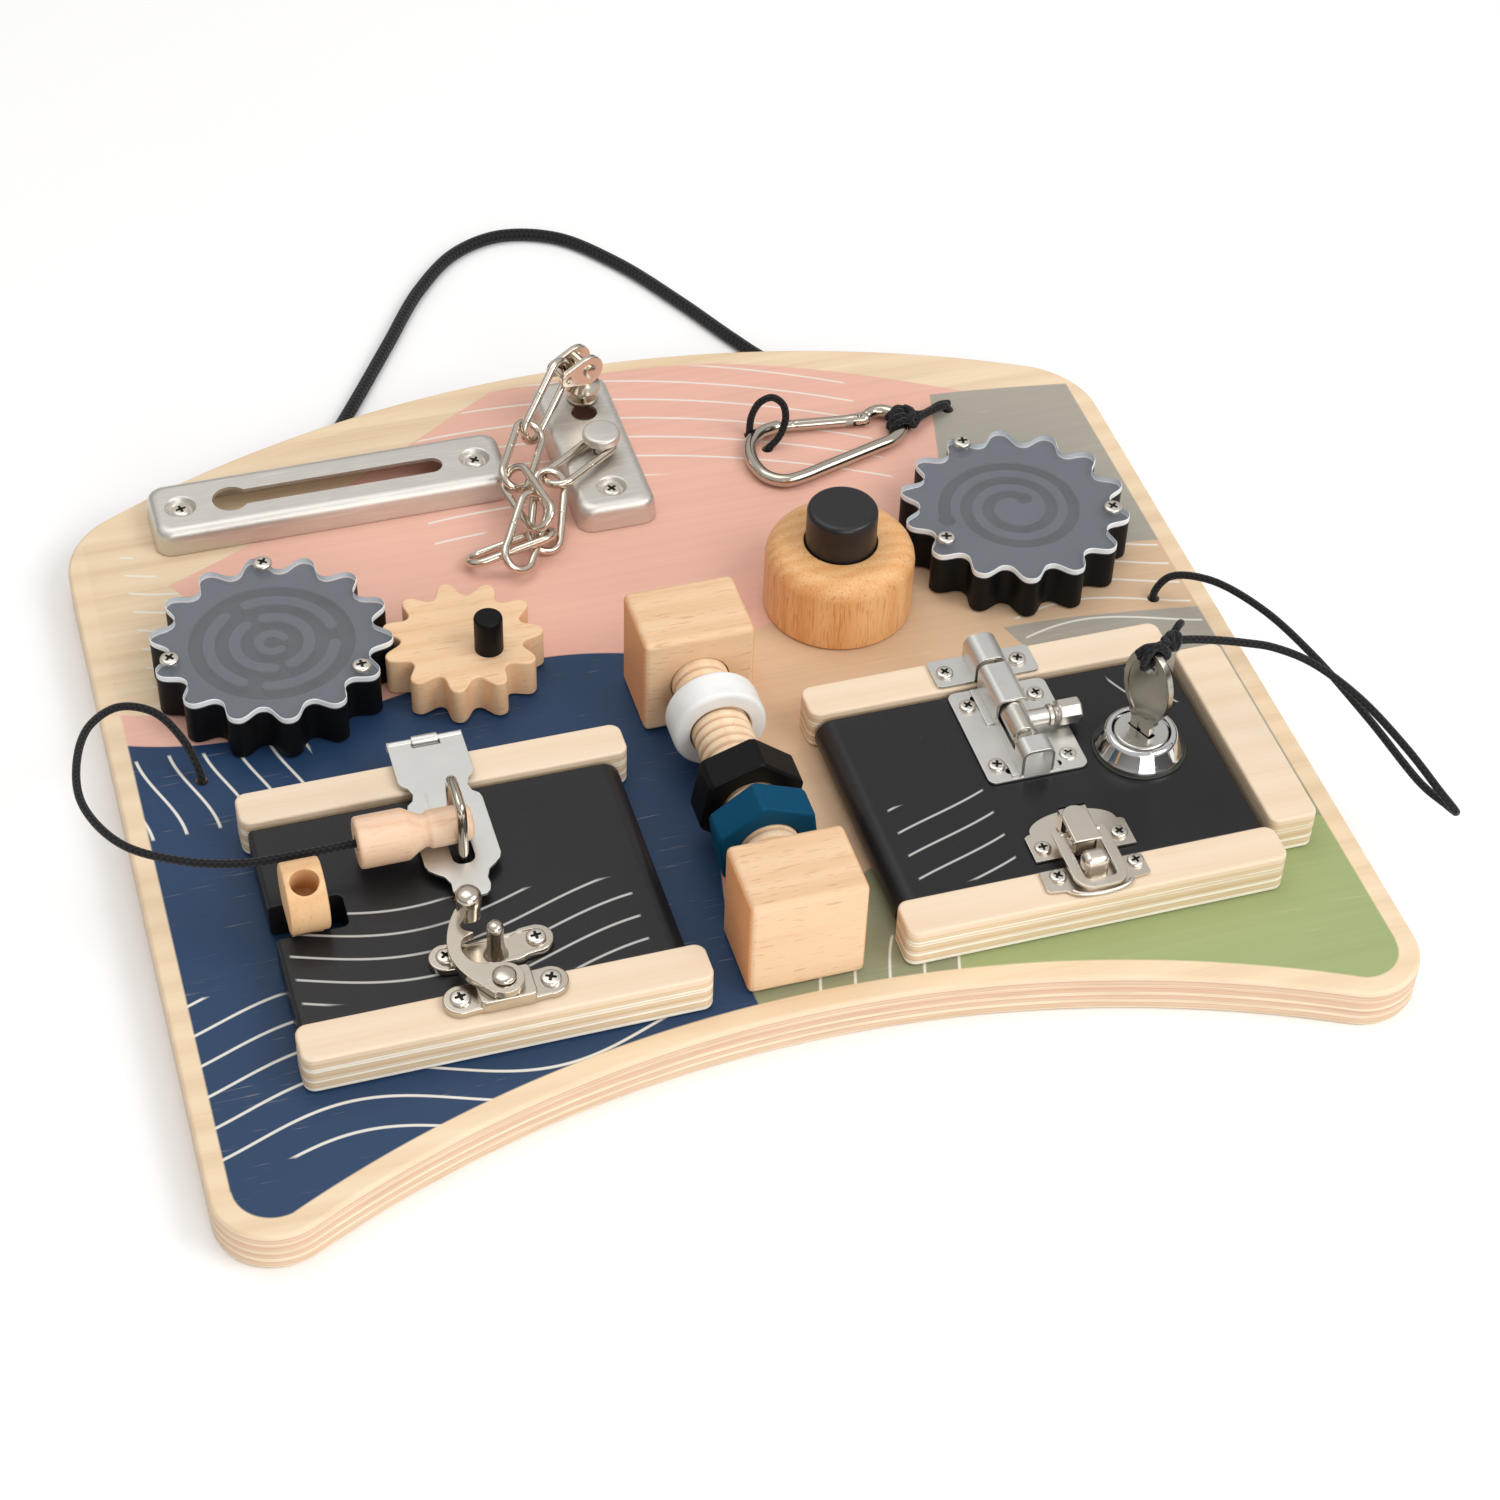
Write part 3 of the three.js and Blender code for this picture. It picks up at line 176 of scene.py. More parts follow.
def box(x0, x1, y0, y1, z0, z1, bev=0.0, seg=3, M=None):
    bm = bmesh.new()
    bmesh.ops.create_cube(bm, size=1)
    for v in bm.verts:
        v.co = Vector(((x0 + x1) / 2 + v.co.x * (x1 - x0), (y0 + y1) / 2 + v.co.y * (y1 - y0), (z0 + z1) / 2 + v.co.z * (z1 - z0)))
    if bev > 0:
        bmesh.ops.bevel(bm, geom=bm.edges[:], offset=bev, segments=seg, profile=0.5, affect="EDGES", clamp_overlap=True)
    for v in bm.verts:
        v.co = ((M @ v.co) if M is not None else v.co) * MM
    return finish_obj("b", bm)


def lathe(prof, x=0, y=0, seg=64, M=None, z=0):
    """turns (r, z) points about the upright axis at x, y; the ends lie on the axis or the profile closes"""
    m = T(x, y, z) if M is None else M
    vs, fs, rings = [], [], []
    closed = prof[0] == prof[-1] and prof[0][0] > 0
    if closed:
        prof = prof[:-1]
    for r, h in prof:
        if r < 1e-6:
            rings.append([len(vs)] * seg)
            vs.append((0, 0, h))
        else:
            rings.append(list(range(len(vs), len(vs) + seg)))
            vs += [(r * math.cos(2 * math.pi * i / seg), r * math.sin(2 * math.pi * i / seg), h) for i in range(seg)]
    m_rings = list(zip(rings, rings[1:])) + ([(rings[-1], rings[0])] if closed else [])
    for a, b in m_rings:
        for i in range(seg):
            k = (i + 1) % seg
            q = []
            for t in (a[i], a[k], b[k], b[i]):
                if t not in q:
                    q.append(t)
            if len(q) > 2:
                fs.append(q)
    return raw("l", vs, fs, m)


def cyl(axis, r, a, b, lo, hi, seg=48, bev=0.0):
    c = bev
    prof = [(0, lo), (r - c, lo)] + ([(r - c * 0.3, lo + c * 0.3), (r, lo + c)] if c else []) + ([(r, hi - c), (r - c * 0.3, hi - c * 0.3)] if c else []) + [(r - c, hi), (0, hi)]
    if axis == "z":
        m = T(a, b, 0)
    elif axis == "y":
        m = T(a, 0, b) @ Matrix(((1, 0, 0, 0), (0, 0, 1, 0), (0, 1, 0, 0), (0, 0, 0, 1)))
    else:
        m = T(0, a, b) @ Matrix(((0, 0, 1, 0), (0, 1, 0, 0), (1, 0, 0, 0), (0, 0, 0, 1)))
    return lathe(prof, seg=seg, M=m)


def catmull(points, n):
    """centripetal Catmull-Rom through points, n+1 evenly spaced samples"""
    P = [Vector(p) for p in points]
    P = [P[0] * 2 - P[1]] + P + [P[-1] * 2 - P[-2]]
    out = []
    for i in range(1, len(P) - 2):
        p0, p1, p2, p3 = P[i - 1], P[i], P[i + 1], P[i + 2]
        t0 = 0
        t1 = t0 + max((p1 - p0).length, 1e-4) ** 0.5
        t2 = t1 + max((p2 - p1).length, 1e-4) ** 0.5
        t3 = t2 + max((p3 - p2).length, 1e-4) ** 0.5
        for j in range(24):
            t = t1 + (t2 - t1) * j / 24
            a1 = p0 * ((t1 - t) / (t1 - t0)) + p1 * ((t - t0) / (t1 - t0))
            a2 = p1 * ((t2 - t) / (t2 - t1)) + p2 * ((t - t1) / (t2 - t1))
            a3 = p2 * ((t3 - t) / (t3 - t2)) + p3 * ((t - t2) / (t3 - t2))
            b1 = a1 * ((t2 - t) / (t2 - t0)) + a2 * ((t - t0) / (t2 - t0))
            b2 = a2 * ((t3 - t) / (t3 - t1)) + a3 * ((t - t1) / (t3 - t1))
            out.append(b1 * ((t2 - t) / (t2 - t1)) + b2 * ((t - t1) / (t2 - t1)))
    out.append(P[-2])
    return resample(out, n)


def resample(pts, n):
    s = [0.0]
    for a, b in zip(pts, pts[1:]):
        s.append(s[-1] + (b - a).length)
    out, k = [], 0
    for i in range(n + 1):
        d = s[-1] * i / n
        while k < len(s) - 2 and s[k + 1] < d:
            k += 1
        t = 0 if s[k + 1] == s[k] else (d - s[k]) / (s[k + 1] - s[k])
        out.append(pts[k].lerp(pts[k + 1], min(max(t, 0), 1)))
    return out


def length_of(pts):
    return sum((b - a).length for a, b in zip(pts, pts[1:]))


def sweep(pts, r, sides=16, closed=False, section=None, up=None, rfun=None, uv=False, name="t", dome=True):
    """tube of radius r (or of a section) along sampled points, with round ends"""
    n = len(pts)
    sec = section or [(r * math.cos(2 * math.pi * k / sides), r * math.sin(2 * math.pi * k / sides)) for k in range(sides)]
    sides = len(sec)
    tan = []
    for i in range(n):
        a = pts[i - 1] if (i > 0 or closed) else pts[i]
        b = pts[(i + 1) % n] if (i < n - 1 or closed) else pts[i]
        tan.append((b - a).normalized())
    if up is None:
        ref = Vector((0, 0, 1)) if abs(tan[0].z) < 0.9 else Vector((1, 0, 0))
        nv = (ref - tan[0] * ref.dot(tan[0])).normalized()
    rows = []
    for i in range(n):
        if up is not None:
            u = Vector(up)
            nv = (u - tan[i] * u.dot(tan[i])).normalized()
        else:
            nv = (nv - tan[i] * nv.dot(tan[i])).normalized()
        bv = tan[i].cross(nv)
        s = rfun(i / (n - 1)) if rfun else 1.0
        rows.append([pts[i] + nv * (a * s) + bv * (b * s) for a, b in sec])
    bm = bmesh.new()
    layer = bm.loops.layers.uv.new("UVMap") if uv else None
    V = [[bm.verts.new(p * MM) for p in row] for row in rows]
    dist = [0.0]
    for a, b in zip(pts, pts[1:]):
        dist.append(dist[-1] + (b - a).length * MM)
    for i in range(n if closed else n - 1):
        j = (i + 1) % n
        for k in range(sides):
            m = (k + 1) % sides
            f = bm.faces.new((V[i][k], V[i][m], V[j][m], V[j][k]))
            if layer:
                k1 = k + 1
                dj = dist[j] if j else dist[-1]
                for lp, (a, b) in zip(f.loops, ((k, dist[i]), (k1, dist[i]), (k1, dj), (k, dj))):
                    lp[layer].uv = (a / sides, b)
    if not closed:
        for row, s in ((V[0][::-1], -1), (V[-1], 1)):
            c = Vector()
            for v in row:
                c += v.co
            c /= len(row)
            if dome and section is None:
                t = tan[0] * -1 if s < 0 else tan[-1]
                rr = r * (rfun(0 if s < 0 else 1) if rfun else 1)
                ring = row
                for q in (0.5, 0.85):
                    nr = [bm.verts.new(c + (v.co - c) * math.sqrt(1 - q * q) + t * (rr * q * MM * 0.7)) for v in row]
                    for k in range(sides):
                        f = bm.faces.new((ring[k], ring[(k + 1) % sides], nr[(k + 1) % sides], nr[k]))
                        if layer:
                            for lp in f.loops:
                                lp[layer].uv = (0.1, dist[0] if s < 0 else dist[-1])
                    ring = nr
                bm.faces.new(ring)
            else:
                bm.faces.new(row)
    me = bpy.data.meshes.new(name)
    bmesh.ops.recalc_face_normals(bm, faces=bm.faces)
    bm.to_mesh(me)
    bm.free()
    ob = bpy.data.objects.new(name, me)
    SC.collection.objects.link(ob)
    return ob


def tube(points, r, sides=16, n=80, **k):
    return sweep(catmull(points, n), r, sides, **k)


def apply_mods(ob):
    dg = bpy.context.evaluated_depsgraph_get()
    me = bpy.data.meshes.new_from_object(ob.evaluated_get(dg))
    ob.modifiers.clear()
    ob.data = me
    return ob


def boolean(ob, tool, op):
    for t in (tool if isinstance(tool, (list, tuple)) else [tool]):
        m = ob.modifiers.new("b", "BOOLEAN")
        m.operation, m.object, m.solver = op, t, "EXACT"
        apply_mods(ob)
        bpy.data.objects.remove(t)
    return ob


def cut(ob, *tools):
    return boolean(ob, list(tools), "DIFFERENCE")


def fuse(ob, *tools):
    return boolean(ob, list(tools), "UNION")


def common(ob, tool):
    return boolean(ob, tool, "INTERSECT")


def merge(*obs):
    """one object of several separate solids"""
    bm = bmesh.new()
    mats = []
    for o in obs:
        bm.from_mesh(o.data)
    me = bpy.data.meshes.new("m")
    bm.to_mesh(me)
    bm.free()
    for o in obs:
        bpy.data.objects.remove(o)
    ob = bpy.data.objects.new("m", me)
    SC.collection.objects.link(ob)
    return ob


def soften(ob, width=0.3, angle=38, seg=2):
    """rounds the sharp edges that are left"""
    m = ob.modifiers.new("bevel", "BEVEL")
    m.width, m.segments, m.limit_method, m.angle_limit = width * MM, seg, "ANGLE", rad(angle)
    m.use_clamp_overlap = True
    m.miter_outer = "MITER_ARC"
    apply_mods(ob)
    return ob


def piece(ob, name, body, mats, replaces=(), sharp=42):
    many = isinstance(mats, (list, tuple))
    idx = [f.material_index for f in ob.data.polygons] if many else None
    ob.data.materials.clear()
    for m in (mats if many else [mats]):
        ob.data.materials.append(m.m)
    if many:
        ob.data.polygons.foreach_set("material_index", idx)
    ob.data.polygons.foreach_set("use_smooth", [True] * len(ob.data.polygons))
    ob.data.set_sharp_from_angle(angle=rad(sharp))
    if sharp < 70:
        w = ob.modifiers.new("normals", "WEIGHTED_NORMAL")
        w.mode, w.weight, w.keep_sharp = "FACE_AREA", 90, True
        apply_mods(ob)
    ob.name = name
    ob.data.name = name
    if body:
        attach(ob, body)
    if replaces:
        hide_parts(*replaces)
    return ob


# ---------------------------------------------------------------------------- shader tools
class Mat:
    def __init__(self, name, metallic=0.0, rough=0.5, coat=0.0, coat_rough=0.1, spec=0.5, sheen=0.0):
        self.m = bpy.data.materials.new(name)
        self.m.use_nodes = True
        self.nt = self.m.node_tree
        self.nt.nodes.clear()
        self.out = self.nt.nodes.new("ShaderNodeOutputMaterial")
        self.b = self.nt.nodes.new("ShaderNodeBsdfPrincipled")
        self.nt.links.new(self.b.outputs[0], self.out.inputs[0])
        self.b.inputs["Metallic"].default_value = metallic
        self.b.inputs["Roughness"].default_value = rough
        self.b.inputs["Coat Weight"].default_value = coat
        self.b.inputs["Coat Roughness"].default_value = coat_rough
        self.b.inputs["Specular IOR Level"].default_value = spec
        self.b.inputs["Sheen Weight"].default_value = sheen
        tc = self.nt.nodes.new("ShaderNodeTexCoord")
        self.obj, self.uv = tc.outputs["Object"], tc.outputs["UV"]
        self._n = None

    def node(self, kind, **props):
        n = self.nt.nodes.new(kind)
        for k, v in props.items():
            setattr(n, k, v)
        return n

    def set(self, sock, v):
        if isinstance(v, E):
            v = v.s
        if isinstance(v, bpy.types.NodeSocket):
            self.nt.links.new(v, sock)
        elif isinstance(v, (tuple, list)) and len(v) == 3 and sock.type == "RGBA":
            sock.default_value = (*v, 1)
        else:
            sock.default_value = v

    def math(self, op, a, b=None, c=None, clamp=False):
        n = self.node("ShaderNodeMath", operation=op, use_clamp=clamp)
        for s, v in zip(n.inputs, (a, b, c)):
            if v is not None:
                self.set(s, v)
        return E(self, n.outputs[0])

    def xyz(self):
        """object position in millimetres"""
        s = self.node("ShaderNodeSeparateXYZ")
        self.set(s.inputs[0], self.obj)
        return [E(self, o) * 1000.0 for o in s.outputs]

    def normal_z(self):
        g = self.node("ShaderNodeNewGeometry")
        s = self.node("ShaderNodeSeparateXYZ")
        t = self.node("ShaderNodeVectorTransform", vector_type="NORMAL", convert_from="WORLD", convert_to="OBJECT")
        self.set(t.inputs[0], g.outputs["True Normal"])
        self.set(s.inputs[0], t.outputs[0])
        return [E(self, o) for o in s.outputs]

    def mapped(self, scale=(1, 1, 1), rot=(0, 0, 0), loc=(0, 0, 0), src=None):
        n = self.node("ShaderNodeMapping")
        self.set(n.inputs[0], src if src is not None else self.obj)
        n.inputs["Scale"].default_value = scale
        n.inputs["Rotation"].default_value = [rad(a) for a in rot]
        n.inputs["Location"].default_value = loc
        return n.outputs[0]

    def noise(self, vec, scale, detail=3.0, rough=0.5, dist=0.0):
        n = self.node("ShaderNodeTexNoise")
        self.set(n.inputs["Vector"], vec)
        n.inputs["Scale"].default_value = scale
        n.inputs["Detail"].default_value = detail
        n.inputs["Roughness"].default_value = rough
        n.inputs["Distortion"].default_value = dist
        return E(self, n.outputs[0])

    def wave(self, vec, scale, dist=2.0, detail=2.0, dscale=1.0, axis="Y", kind="BANDS", profile="SIN"):
        n = self.node("ShaderNodeTexWave", wave_type=kind, wave_profile=profile)
        if kind == "BANDS":
            n.bands_direction = axis
        self.set(n.inputs["Vector"], vec)
        n.inputs["Scale"].default_value = scale
        n.inputs["Distortion"].default_value = dist
        n.inputs["Detail"].default_value = detail
        n.inputs["Detail Scale"].default_value = dscale
        return E(self, n.outputs["Fac"])

    def voronoi(self, vec, scale, feature="F1"):
        n = self.node("ShaderNodeTexVoronoi", feature=feature)
        self.set(n.inputs["Vector"], vec)
        n.inputs["Scale"].default_value = scale
        return E(self, n.outputs["Distance"])

    def ramp(self, fac, stops, interp="LINEAR"):
        n = self.node("ShaderNodeValToRGB")
        n.color_ramp.interpolation = interp
        e = n.color_ramp.elements
        while len(e) < len(stops):
            e.new(0.5)
        for el, (p, c) in zip(e, stops):
            el.position = p
            el.color = (*c, 1) if isinstance(c, tuple) else (c, c, c, 1)
        self.set(n.inputs[0], fac)
        return n.outputs[0]

    def mix(self, f, a, b, blend="MIX"):
        n = self.node("ShaderNodeMix", data_type="RGBA", blend_type=blend, clamp_factor=True)
        self.set(n.inputs[0], f)
        self.set(n.inputs[6], a)
        self.set(n.inputs[7], b)
        return n.outputs[2]

    def bump(self, h, dist=0.0001, strength=1.0):
        n = self.node("ShaderNodeBump")
        n.inputs["Strength"].default_value = strength
        n.inputs["Distance"].default_value = dist
        self.set(n.inputs["Height"], h)
        if self._n is not None:
            self.set(n.inputs["Normal"], self._n)
        self._n = n.outputs[0]
        self.set(self.b.inputs["Normal"], self._n)

    def color(self, c):
        self.set(self.b.inputs["Base Color"], c)

    def rough(self, r):
        self.set(self.b.inputs["Roughness"], r)


class E:
    """a float socket with arithmetic"""
    def __init__(self, m, s):
        self.m, self.s = m, s

    def __add__(self, o): return self.m.math("ADD", self, o)
    __radd__ = __add__
    def __sub__(self, o): return self.m.math("SUBTRACT", self, o)
    def __rsub__(self, o): return self.m.math("SUBTRACT", o, self)
    def __mul__(self, o): return self.m.math("MULTIPLY", self, o)
    __rmul__ = __mul__
    def __truediv__(self, o): return self.m.math("DIVIDE", self, o)
    def __neg__(self): return self.m.math("MULTIPLY", self, -1.0)


def sin(e): return e.m.math("SINE", e)
def cos(e): return e.m.math("COSINE", e)
def absv(e): return e.m.math("ABSOLUTE", e)
def sqrt(e): return e.m.math("SQRT", e)
def frac(e): return e.m.math("FRACT", e)
def emin(a, b): return (a if isinstance(a, E) else b).m.math("MINIMUM", a, b)
def emax(a, b): return (a if isinstance(a, E) else b).m.math("MAXIMUM", a, b)
def inv(e): return 1.0 - e
def above(e, t, soft=0.15):
    """0 below t, 1 above, over soft"""
    return e.m.math("MULTIPLY_ADD", e, 1.0 / (2 * soft), 0.5 - t / (2 * soft), clamp=True)
def below(e, t, soft=0.15): return inv(above(e, t, soft))
def rng(e, lo, hi, soft=0.15): return emin(above(e, lo, soft), below(e, hi, soft))


def lin(r, g, b):
    """screen colour 0-255 to linear"""
    f = lambda c: (c / 255) / 12.92 if c <= 10 else (((c / 255) + 0.055) / 1.055) ** 2.4
    return (f(r), f(g), f(b))


def grain(m, axis, seed=0.0):
    """object coordinates turned so that the wood's fibres run along local X"""
    rot = {"X": (0, 0, 0), "Y": (0, 0, -90), "Z": (0, 90, 0)}[axis]
    return m.mapped(rot=rot, loc=(seed, seed * 0.7, seed * 0.3))


def wood(name, axis, light, mid, dark, fleck=0.0, end=0.0, thread=False, ring=40.0, rough=0.5, seed=0.0, coat=0.0, contrast=1.0, plies=None, dash=(230, 2300), dash_at=0.63):
    m = Mat(name, rough=rough, coat=coat, coat_rough=0.35, spec=0.35)
    g = grain(m, axis, seed)
    warp = m.noise(m.mapped(scale=(3.0, 22.0, 22.0), src=g), 2.2, 3, 0.55)
    c = m.node("ShaderNodeCombineXYZ")
    m.set(c.inputs[1], warp * 0.012)
    m.set(c.inputs[2], warp * 0.012)
    v2 = m.node("ShaderNodeVectorMath", operation="ADD")
    m.set(v2.inputs[0], g)
    m.set(v2.inputs[1], c.outputs[0])
    rings = m.wave(m.mapped(scale=(0.06, 1.0, 0.7), src=v2.outputs[0]), ring, 2.4, 3, 1.3, "Y")
    fib = m.noise(m.mapped(scale=(16, 1100, 1100), src=g), 1.0, 3, 0.6)
    fine = m.noise(m.mapped(scale=(70, 3000, 3000), src=g), 1.0, 2, 0.6)
    patch = m.noise(m.mapped(scale=(9, 34, 34), src=g), 1.0, 2, 0.5)
    f = rings * (0.16 * contrast) + fib * 0.26 + patch * 0.26 + fine * 0.16 + 0.08
    col = m.ramp(f, [(0.20, dark), (0.44, mid), (0.72, light)])
    h = fib * 0.5 + fine * 0.5
    if fleck > 0:
        fl = m.noise(m.mapped(scale=(dash[0], dash[1], dash[1]), src=g), 1.0, 1.0, 0.4)
        big = m.noise(m.mapped(scale=(dash[0] * 0.6, dash[1] * 0.55, dash[1] * 0.55), src=g), 1.0, 0.0, 0.4)
        fm = emax(above(fl, dash_at, 0.025), above(big, dash_at + 0.09, 0.02)) * fleck
        col = m.mix(fm, col, tuple(x * k for x, k in zip(mid, (0.62, 0.44, 0.34))))
        h = h - fm * 0.5
    if end > 0:
        # end grain: warmer, darker, finely pored
        gn = m.normal_z()[{"X": 0, "Y": 1, "Z": 2}[axis]]
        pore = m.voronoi(m.mapped(scale=(1, 1, 1)), 1500.0)
        lay = m.wave(m.mapped(), 190.0, 3.0, 2, 1.2, "Z")
        ecol = m.mix(lay * 0.5 + above(pore, 0.35, 0.3) * 0.3, tuple(x * k for x, k in zip(dark, (1.16, 0.76, 0.50))), tuple(x * k for x, k in zip(mid, (1.24, 0.95, 0.72))))
        col = m.mix(above(absv(gn), 0.75, 0.12) * end, col, ecol)
    if thread:
        # painted shade: the colour is darkened inside the thread groove of the spindle, between the blocks
        x, y, z = m.xyz()
        rr = sqrt(x * x + (z - 32.0) * (z - 32.0))
        col = m.mix(emin(below(rr, 8.45, 0.35), rng(y, -96.0, -13.0, 1.0)) * 0.42, col, tuple(x * k for x, k in zip(dark, (0.50, 0.36, 0.28))))
    if plies:
        # thin veneers seen at the board's edges
        x, y, z = m.xyz()
        nx, ny, nz = m.normal_z()
        side = below(absv(nz), 0.55, 0.1)
        z0, t, pal, wob = plies
        u = (z - z0 + (m.noise(m.mapped(scale=(12, 12, 60)), 1.0, 2) - 0.5) * wob) / t
        band = frac(u)
        odd = above(frac(u * 0.5), 0.5, 0.02)
        ply = m.mix(odd, pal[0], pal[1])
        third = above(m.noise(m.mapped(scale=(0.5, 0.5, 420)), 1.0, 0), 0.54, 0.03)
        ply = m.mix(third * 0.6, ply, pal[2])
        streak = m.noise(m.mapped(scale=(55, 55, 1200)), 1.0, 3, 0.65)
        ply = m.mix(above(streak, 0.56, 0.12) * 0.35, ply, tuple(a * 0.74 for a in pal[1]))
        line = inv(rng(band, 0.07, 0.93, 0.05))
        ply = m.mix(line * 0.5, ply, tuple(a * 0.62 for a in pal[1]))
        topv = above(z, z0 + 13.7 - 2.1, 0.08) if z0 > 14 else above(z, 12.6, 0.08)
        ply = m.mix(topv, ply, mid)
        col = m.mix(side, col, ply)
        h = h - line * side * 0.4 + streak * side * 0.4
    m.color(col)
    m.rough(rough - 0.06 + fib * 0.12)
    m.bump(h, 0.00005, 0.45)
    return m


BIRCH_L, BIRCH_M, BIRCH_D = lin(240, 222, 198), lin(233, 210, 182), lin(221, 194, 162)
BEECH_L, BEECH_M, BEECH_D = lin(240, 208, 172), lin(231, 192, 152), lin(214, 168, 124)
PLY = (lin(253, 246, 230), lin(228, 202, 166), lin(214, 182, 142))

m_rail = wood("birch_rail", "X", BIRCH_L, BIRCH_M, BIRCH_D, ring=30, rough=0.55, seed=0.3, contrast=0.8, plies=(14.3, 2.0, PLY, 0.25))
m_beech_y = wood("beech_block", "X", BEECH_L, BEECH_M, BEECH_D, fleck=0.42, end=0.9, ring=34, rough=0.5, seed=0.9, dash=(170, 2100), dash_at=0.69)
m_beech_x = wood("beech_gear", "X", lin(240, 208, 170), lin(233, 195, 154), lin(218, 174, 128), fleck=0.35, end=0.35, ring=40, rough=0.5, seed=1.7, dash=(170, 2100), dash_at=0.69)
# thread=True paints shade into the spindle's thread groove
m_spindle = wood("beech_spindle", "Y", lin(255, 232, 200), lin(250, 218, 182), lin(236, 196, 154), fleck=0.25, thread=True, ring=50, rough=0.5, seed=2.4, dash=(170, 2100), dash_at=0.69)
m_oak = wood("button_wood", "Z", lin(238, 192, 138), lin(226, 168, 108), lin(206, 144, 84), fleck=0.5, ring=60, rough=0.4, seed=4.1, coat=0.2, contrast=1.0, dash=(150, 2900), dash_at=0.64)
m_peg = wood("peg_wood", "X", lin(243, 214, 186), lin(235, 198, 166), lin(218, 176, 142), fleck=0.25, ring=70, rough=0.5, seed=5.3, dash=(200, 2300), dash_at=0.68)
m_latch = wood("latch_wood", "Z", lin(240, 202, 156), lin(230, 186, 136), lin(212, 160, 108), fleck=0.3, ring=70, rough=0.5, seed=6.1, dash=(200, 2300), dash_at=0.68)


# ---------------------------------------------------------------------------- printed board face
def board_material():
    m = Mat("printed_birch", rough=0.5, spec=0.35)
    g = grain(m, "X", 0.13)
    fib = m.noise(m.mapped(scale=(9, 520, 520), src=g), 1.0, 4, 0.6)
    fine = m.noise(m.mapped(scale=(40, 1800, 1800), src=g), 1.0, 2, 0.6)
    patch = m.noise(m.mapped(scale=(5, 16, 16), src=g), 1.0, 3, 0.5)
    rings = m.wave(m.mapped(scale=(0.10, 1.0, 1.0), src=g), 26, 5.0, 3, 1.1, "Y")
    f = rings * 0.16 + fib * 0.26 + patch * 0.36 + fine * 0.14 + 0.02
    bare = m.ramp(f, [(0.18, lin(216, 187, 148)), (0.45, lin(232, 207, 173)), (0.78, lin(243, 223, 192))])
    x, y, z = m.xyz()
    nx, ny, nz = m.normal_z()
    # soft-edged colour fields with wavy borders
    wob = (m.noise(m.mapped(scale=(18, 18, 18)), 1.0, 1) - 0.5) * 3.0
    hill_a = y - (sin(x * 0.021 + 1.9) * 24.0 - x * 0.30 - 34.0)          # navy lies below this
    hill_b = y - (sin(x * 0.016 + 0.4) * 20.0 + x * 0.16 + 4.0)            # right-hand fields
    hill_c = y - (sin(x * 0.026 - 0.8) * 16.0 - 97.0 + x * 0.05)           # front fields
    valley = x - (sin(y * 0.019 + 0.6) * 18.0 + 8.0)
    back = y - (sin(x * 0.014 + 0.8) * 26.0 + 92.0 - absv(x + 18.0) * 0.28)
    salmon, navy, sage = lin(233, 182, 163), lin(32, 60, 94), lin(146, 150, 118)
    green, grey, beige, rose = lin(158, 170, 117), lin(168, 162, 150), lin(216, 184, 150), lin(205, 158, 140)
    col = m.mix(below(back, 62.0, 0.3), bare, salmon)
    col = m.mix(emin(above(x - y * 0.25, 92.0, 0.3), below(hill_b, 86.0, 0.3)), col, grey)
    col = m.mix(emin(above(valley, 0.0, 0.3), below(hill_b, 0.0, 0.3)), col, beige)
    col = m.mix(emin(above(x + y * 0.35, 108.0, 0.3), below(hill_b, -34.0, 0.3)), col, grey)
    col = m.mix(emin(above(valley, -22.0, 0.3), below(hill_c, 10.0, 0.3)), col, sage)
    col = m.mix(emin(above(x - y * 0.4, 96.0, 0.3), below(hill_c, -4.0, 0.3)), col, green)
    col = m.mix(emin(below(valley, -6.0, 0.3), below(hill_a, 30.0, 0.3)), col, navy)
    leftbare = emin(below(x + y * 0.55, -96.0, 0.3), above(hill_a, 44.0, 0.3))
    col = m.mix(leftbare, col, bare)
    # white line motifs: soft parallel waves, and straight hatching
    def waves(e, gap, wide, mask):
        return emin(inv(above(absv(frac(e / gap) - 0.5) * gap, wide / 2, 0.18)), mask)
    in_navy = emin(below(valley, -10.0, 0.5), below(hill_a, 26.0, 0.5))
    w1 = waves(y + sin(x * 0.055 + y * 0.004) * 7.0, 11.0, 0.95, emin(in_navy, emin(rng(y + x * 0.2, -176.0, -116.0, 0.5), below(x, -34.0, 0.5))))
    w2 = waves(x + sin(y * 0.08) * 5.0, 10.0, 0.95, emin(in_navy, emin(rng(y, -18.0, 16.0, 0.5), below(x, -118.0, 0.5))))
    w3 = waves(x * 0.16 + y + x * x * 0.0022, 10.5, 0.85, emin(rng(back, 2.0, 61.0, 0.5), rng(x, -60.0, 96.0, 0.5)))
    w4 = waves(y - sin(x * 0.06) * 6.0, 9.5, 0.85, emin(emin(above(x, 112.0, 0.5), rng(y, -18.0, 34.0, 0.5)), below(x, 170.0, 0.4)))
    w5 = waves(x - y * 0.6 + sin(y * 0.1) * 3.0, 10.5, 0.85, emin(rng(x - y * 0.05, 8.0, 60.0, 0.5), rng(y, -150.0, -112.0, 0.5)))
    w6 = waves(y + x * 0.35 + sin(x * 0.07) * 4.0, 9.0, 0.8, emin(leftbare, rng(x, -160.0, -60.0, 0.5)))
    lines = emax(emax(emax(w1, w2), emax(w3, w4)), emax(w5, w6))
    col = m.mix(lines * 0.9, col, lin(238, 234, 224))
